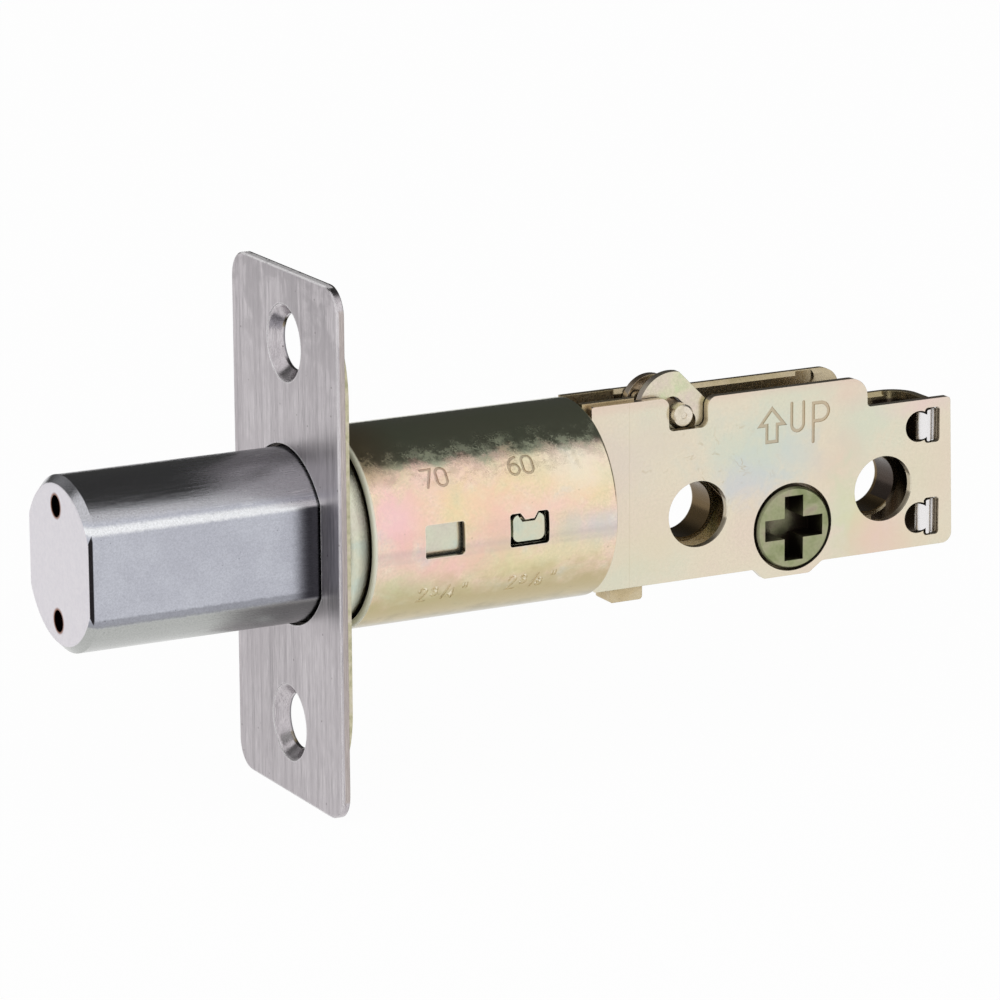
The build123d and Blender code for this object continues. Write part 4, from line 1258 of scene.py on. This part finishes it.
@dataclass(frozen=True)
class BoltFront(Assembly):
    """Bolt, faceplate, backing plate, sleeve and catch."""

    finishes: Finishes = (
        (BrushedStainless(), ("faceplate",)),
        (SatinChrome(), ("bolt_head",)),
        (STRIP_ZINC, ("back_plate",)),
        (SLEEVE_ZINC, ("inner_sleeve",)),
        (CATCH_ZINC, ("backset_catch", "catch_rivet")),
        (PIN_STEEL, ("upper_saw_pin", "lower_saw_pin", "bolt_cross_pin")),
    )


@dataclass(frozen=True)
class CrankCase(Assembly):
    """Tube, side plates, crank and the pieces between them."""

    finishes: Finishes = (
        (TUBE_ZINC, ("outer_tube",)),
        (PLATE_ZINC, ("near_side_plate",)),
        (FAR_ZINC, ("far_side_plate",)),
        (HUB_ZINC, ("hub",)),
        (ARM_ZINC, ("near_crank_arm",)),
        (FAR_ARM_ZINC, ("far_crank_arm",)),
        (END_ZINC, ("cross_pin",)),
        (GOLD_ZINC, ("tube_end_cap", "draw_bar", "pin_yoke", "front_yoke_rivet", "rear_yoke_rivet")),
    )


@dataclass(frozen=True)
class Photographer:
    """Camera that looks down on the latch from the bolt's end, near side."""

    place: tuple[float, float, float] = (-232.23, -492.96, 141.23)
    azimuth: float = 27.593
    elevation: float = 14.189
    roll: float = -0.349
    sensor: float = 36.0
    focal_pixels: float = 5336.14
    image_pixels: float = 1000.0
    clip: Pair = (0.01, 50.0)

    def set_up(self) -> None:
        """Places the camera: forward leans down by the elevation, turned by the azimuth."""
        data = bpy.data.cameras.new("camera")
        data.sensor_fit = "HORIZONTAL"
        data.sensor_width = self.sensor
        data.lens = self.focal_pixels * self.sensor / self.image_pixels
        data.clip_start, data.clip_end = self.clip
        camera = bpy.data.objects.new("camera", data)
        bpy.context.scene.collection.objects.link(camera)
        turn = Matrix.Rotation(radians(-self.azimuth), 4, "Z")
        tilt = Matrix.Rotation(radians(90.0 - self.elevation), 4, "X")
        roll = Matrix.Rotation(radians(self.roll), 4, "Z")
        camera.matrix_world = Matrix.Translation(Vector(self.place) * MM) @ turn @ tilt @ roll
        bpy.context.scene.camera = camera


@dataclass(frozen=True)
class Softbox:
    """A rectangular lamp, aimed at a point."""

    name: str
    place: tuple[float, float, float]
    aim: tuple[float, float, float]
    size: Pair
    watts: float

    def hang(self) -> None:
        """Adds the lamp to the scene; metal doesn't show it."""
        data = bpy.data.lights.new(self.name, "AREA")
        data.shape = "RECTANGLE"
        data.size, data.size_y = (side * MM for side in self.size)
        data.energy = self.watts
        lamp = bpy.data.objects.new(self.name, data)
        lamp.visible_glossy = False
        bpy.context.scene.collection.objects.link(lamp)
        away = Vector(self.place) - Vector(self.aim)
        turned = away.to_track_quat("Z", "Y").to_matrix().to_4x4()
        lamp.matrix_world = Matrix.Translation(Vector(self.place) * MM) @ turned


@dataclass(frozen=True)
class Studio:
    """White backdrop and pale floor, with dark cards above and behind, and a softbox.

    Edges are values at which a direction's X, Z or dot product fades a card or the backdrop.
    """

    floor_span: float = 4000.0
    floor_drop: float = 0.2
    floor_paint: Colour = (0.9, 0.9, 0.9)
    floor_glow: float = 0.97
    floor_glow_in_metal: float = 0.9
    bright_side: tuple[float, float, float] = (-0.6, -0.8, 0.2)
    bright_edge: Pair = (0.05, 0.13)
    behind_edge: Pair = (0.1, -0.3)
    height_edge: Pair = (0.75, 0.4)
    horizon_edge: Pair = (0.01, -0.01)
    dark: Colour = (0.055, 0.055, 0.053)
    grey: Colour = (0.30, 0.30, 0.30)
    bright: Colour = (0.98, 0.98, 0.98)
    white: Colour = (1.0, 1.0, 1.0)
    boxes: tuple[Softbox, ...] = (
        Softbox("side_softbox", (-250.0, -330.0, 200.0), (20.0, 0.0, 0.0), (360.0, 330.0), 0.4),
    )

    def surround(self) -> None:
        """World: a white backdrop, and dark cards that only reflections show.

        The backdrop is clear of the cards where a direction's dot product with the bright
        side's direction is past an edge value, and low down. The card behind on the left is
        mid grey.
        """
        world = bpy.data.worlds.new("surroundings")
        world.use_nodes = True
        bpy.context.scene.world = world
        recipe = Recipe(world.node_tree)
        direction = recipe.add("TexCoord").outputs["Generated"]
        dot = recipe.add("VectorMath", operation="DOT_PRODUCT")
        recipe.plug(dot.inputs[0], direction)
        recipe.plug(dot.inputs[1], self.bright_side)
        x, _, z = recipe.split(direction)
        behind = recipe.product(recipe.fade(x, *self.behind_edge), recipe.fade(z, *self.height_edge))
        cards = recipe.mix(behind, self.dark, self.grey)
        beside = recipe.fade(dot.outputs["Value"], *self.bright_edge)
        clear = recipe.calc("MAXIMUM", beside, recipe.fade(z, *self.horizon_edge))
        direct, reflected = recipe.sight()
        backdrop = recipe.mix(recipe.calc("MAXIMUM", direct, reflected), self.bright, self.white)
        background = recipe.add("Background")
        recipe.feed(background, Color=recipe.mix(recipe.calc("MAXIMUM", clear, direct), cards, backdrop))
        recipe.finish(background.outputs["Background"], "OutputWorld")

    def lay_floor(self, lowest: float) -> None:
        """Lays a square floor just under the latch.

        Args:
            lowest: the latch's lowest point, in metres.
        """
        half = self.floor_span * MM / 2
        level = lowest - self.floor_drop * MM
        corners = [(-half, -half, level), (half, -half, level), (half, half, level), (-half, half, level)]
        mesh = bpy.data.meshes.new("floor")
        mesh.from_pydata(corners, [], [(0, 1, 2, 3)])
        floor = bpy.data.objects.new("floor", mesh)
        bpy.context.scene.collection.objects.link(floor)
        material, recipe = new_recipe("pale_floor")
        direct, reflected = recipe.sight()
        in_metal = recipe.product(reflected, self.floor_glow_in_metal)
        share = recipe.calc("MAXIMUM", recipe.product(direct, self.floor_glow), in_metal)
        paint = recipe.add("BsdfDiffuse")
        recipe.feed(paint, Color=self.floor_paint)
        glow = recipe.add("Emission")
        recipe.feed(glow, Color=self.white)
        both = recipe.add("MixShader")
        recipe.plug(both.inputs[0], share)
        recipe.plug(both.inputs[1], paint.outputs["BSDF"])
        recipe.plug(both.inputs[2], glow.outputs["Emission"])
        recipe.finish(both.outputs["Shader"])
        mesh.materials.append(material)
        floor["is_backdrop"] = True

    def set_up(self, lowest: float) -> None:
        """Builds the surroundings, the lamps and the floor.

        Args:
            lowest: the latch's lowest point, in metres.
        """
        bpy.context.scene.view_settings.view_transform = "Standard"
        self.surround()
        for box in self.boxes:
            box.hang()
        self.lay_floor(lowest)


def as_lists(box: Any) -> list[list[float]]:
    """A bounding box as plain lists of numbers.

    Args:
        box: lowest and highest corners.

    Returns:
        The two corners.
    """
    return [[float(value) for value in corner] for corner in box]


def main() -> None:
    """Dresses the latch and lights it."""
    logging.basicConfig(level=logging.INFO, format="%(name)s: %(message)s")
    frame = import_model()
    cad_box = as_lists(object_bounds())
    for assembly in (BoltFront(), CrankCase()):
        assembly.dress(frame["nodes"])
    Studio().set_up(cad_box[0][2])
    Photographer().set_up()


if __name__ == "__main__":
    main()
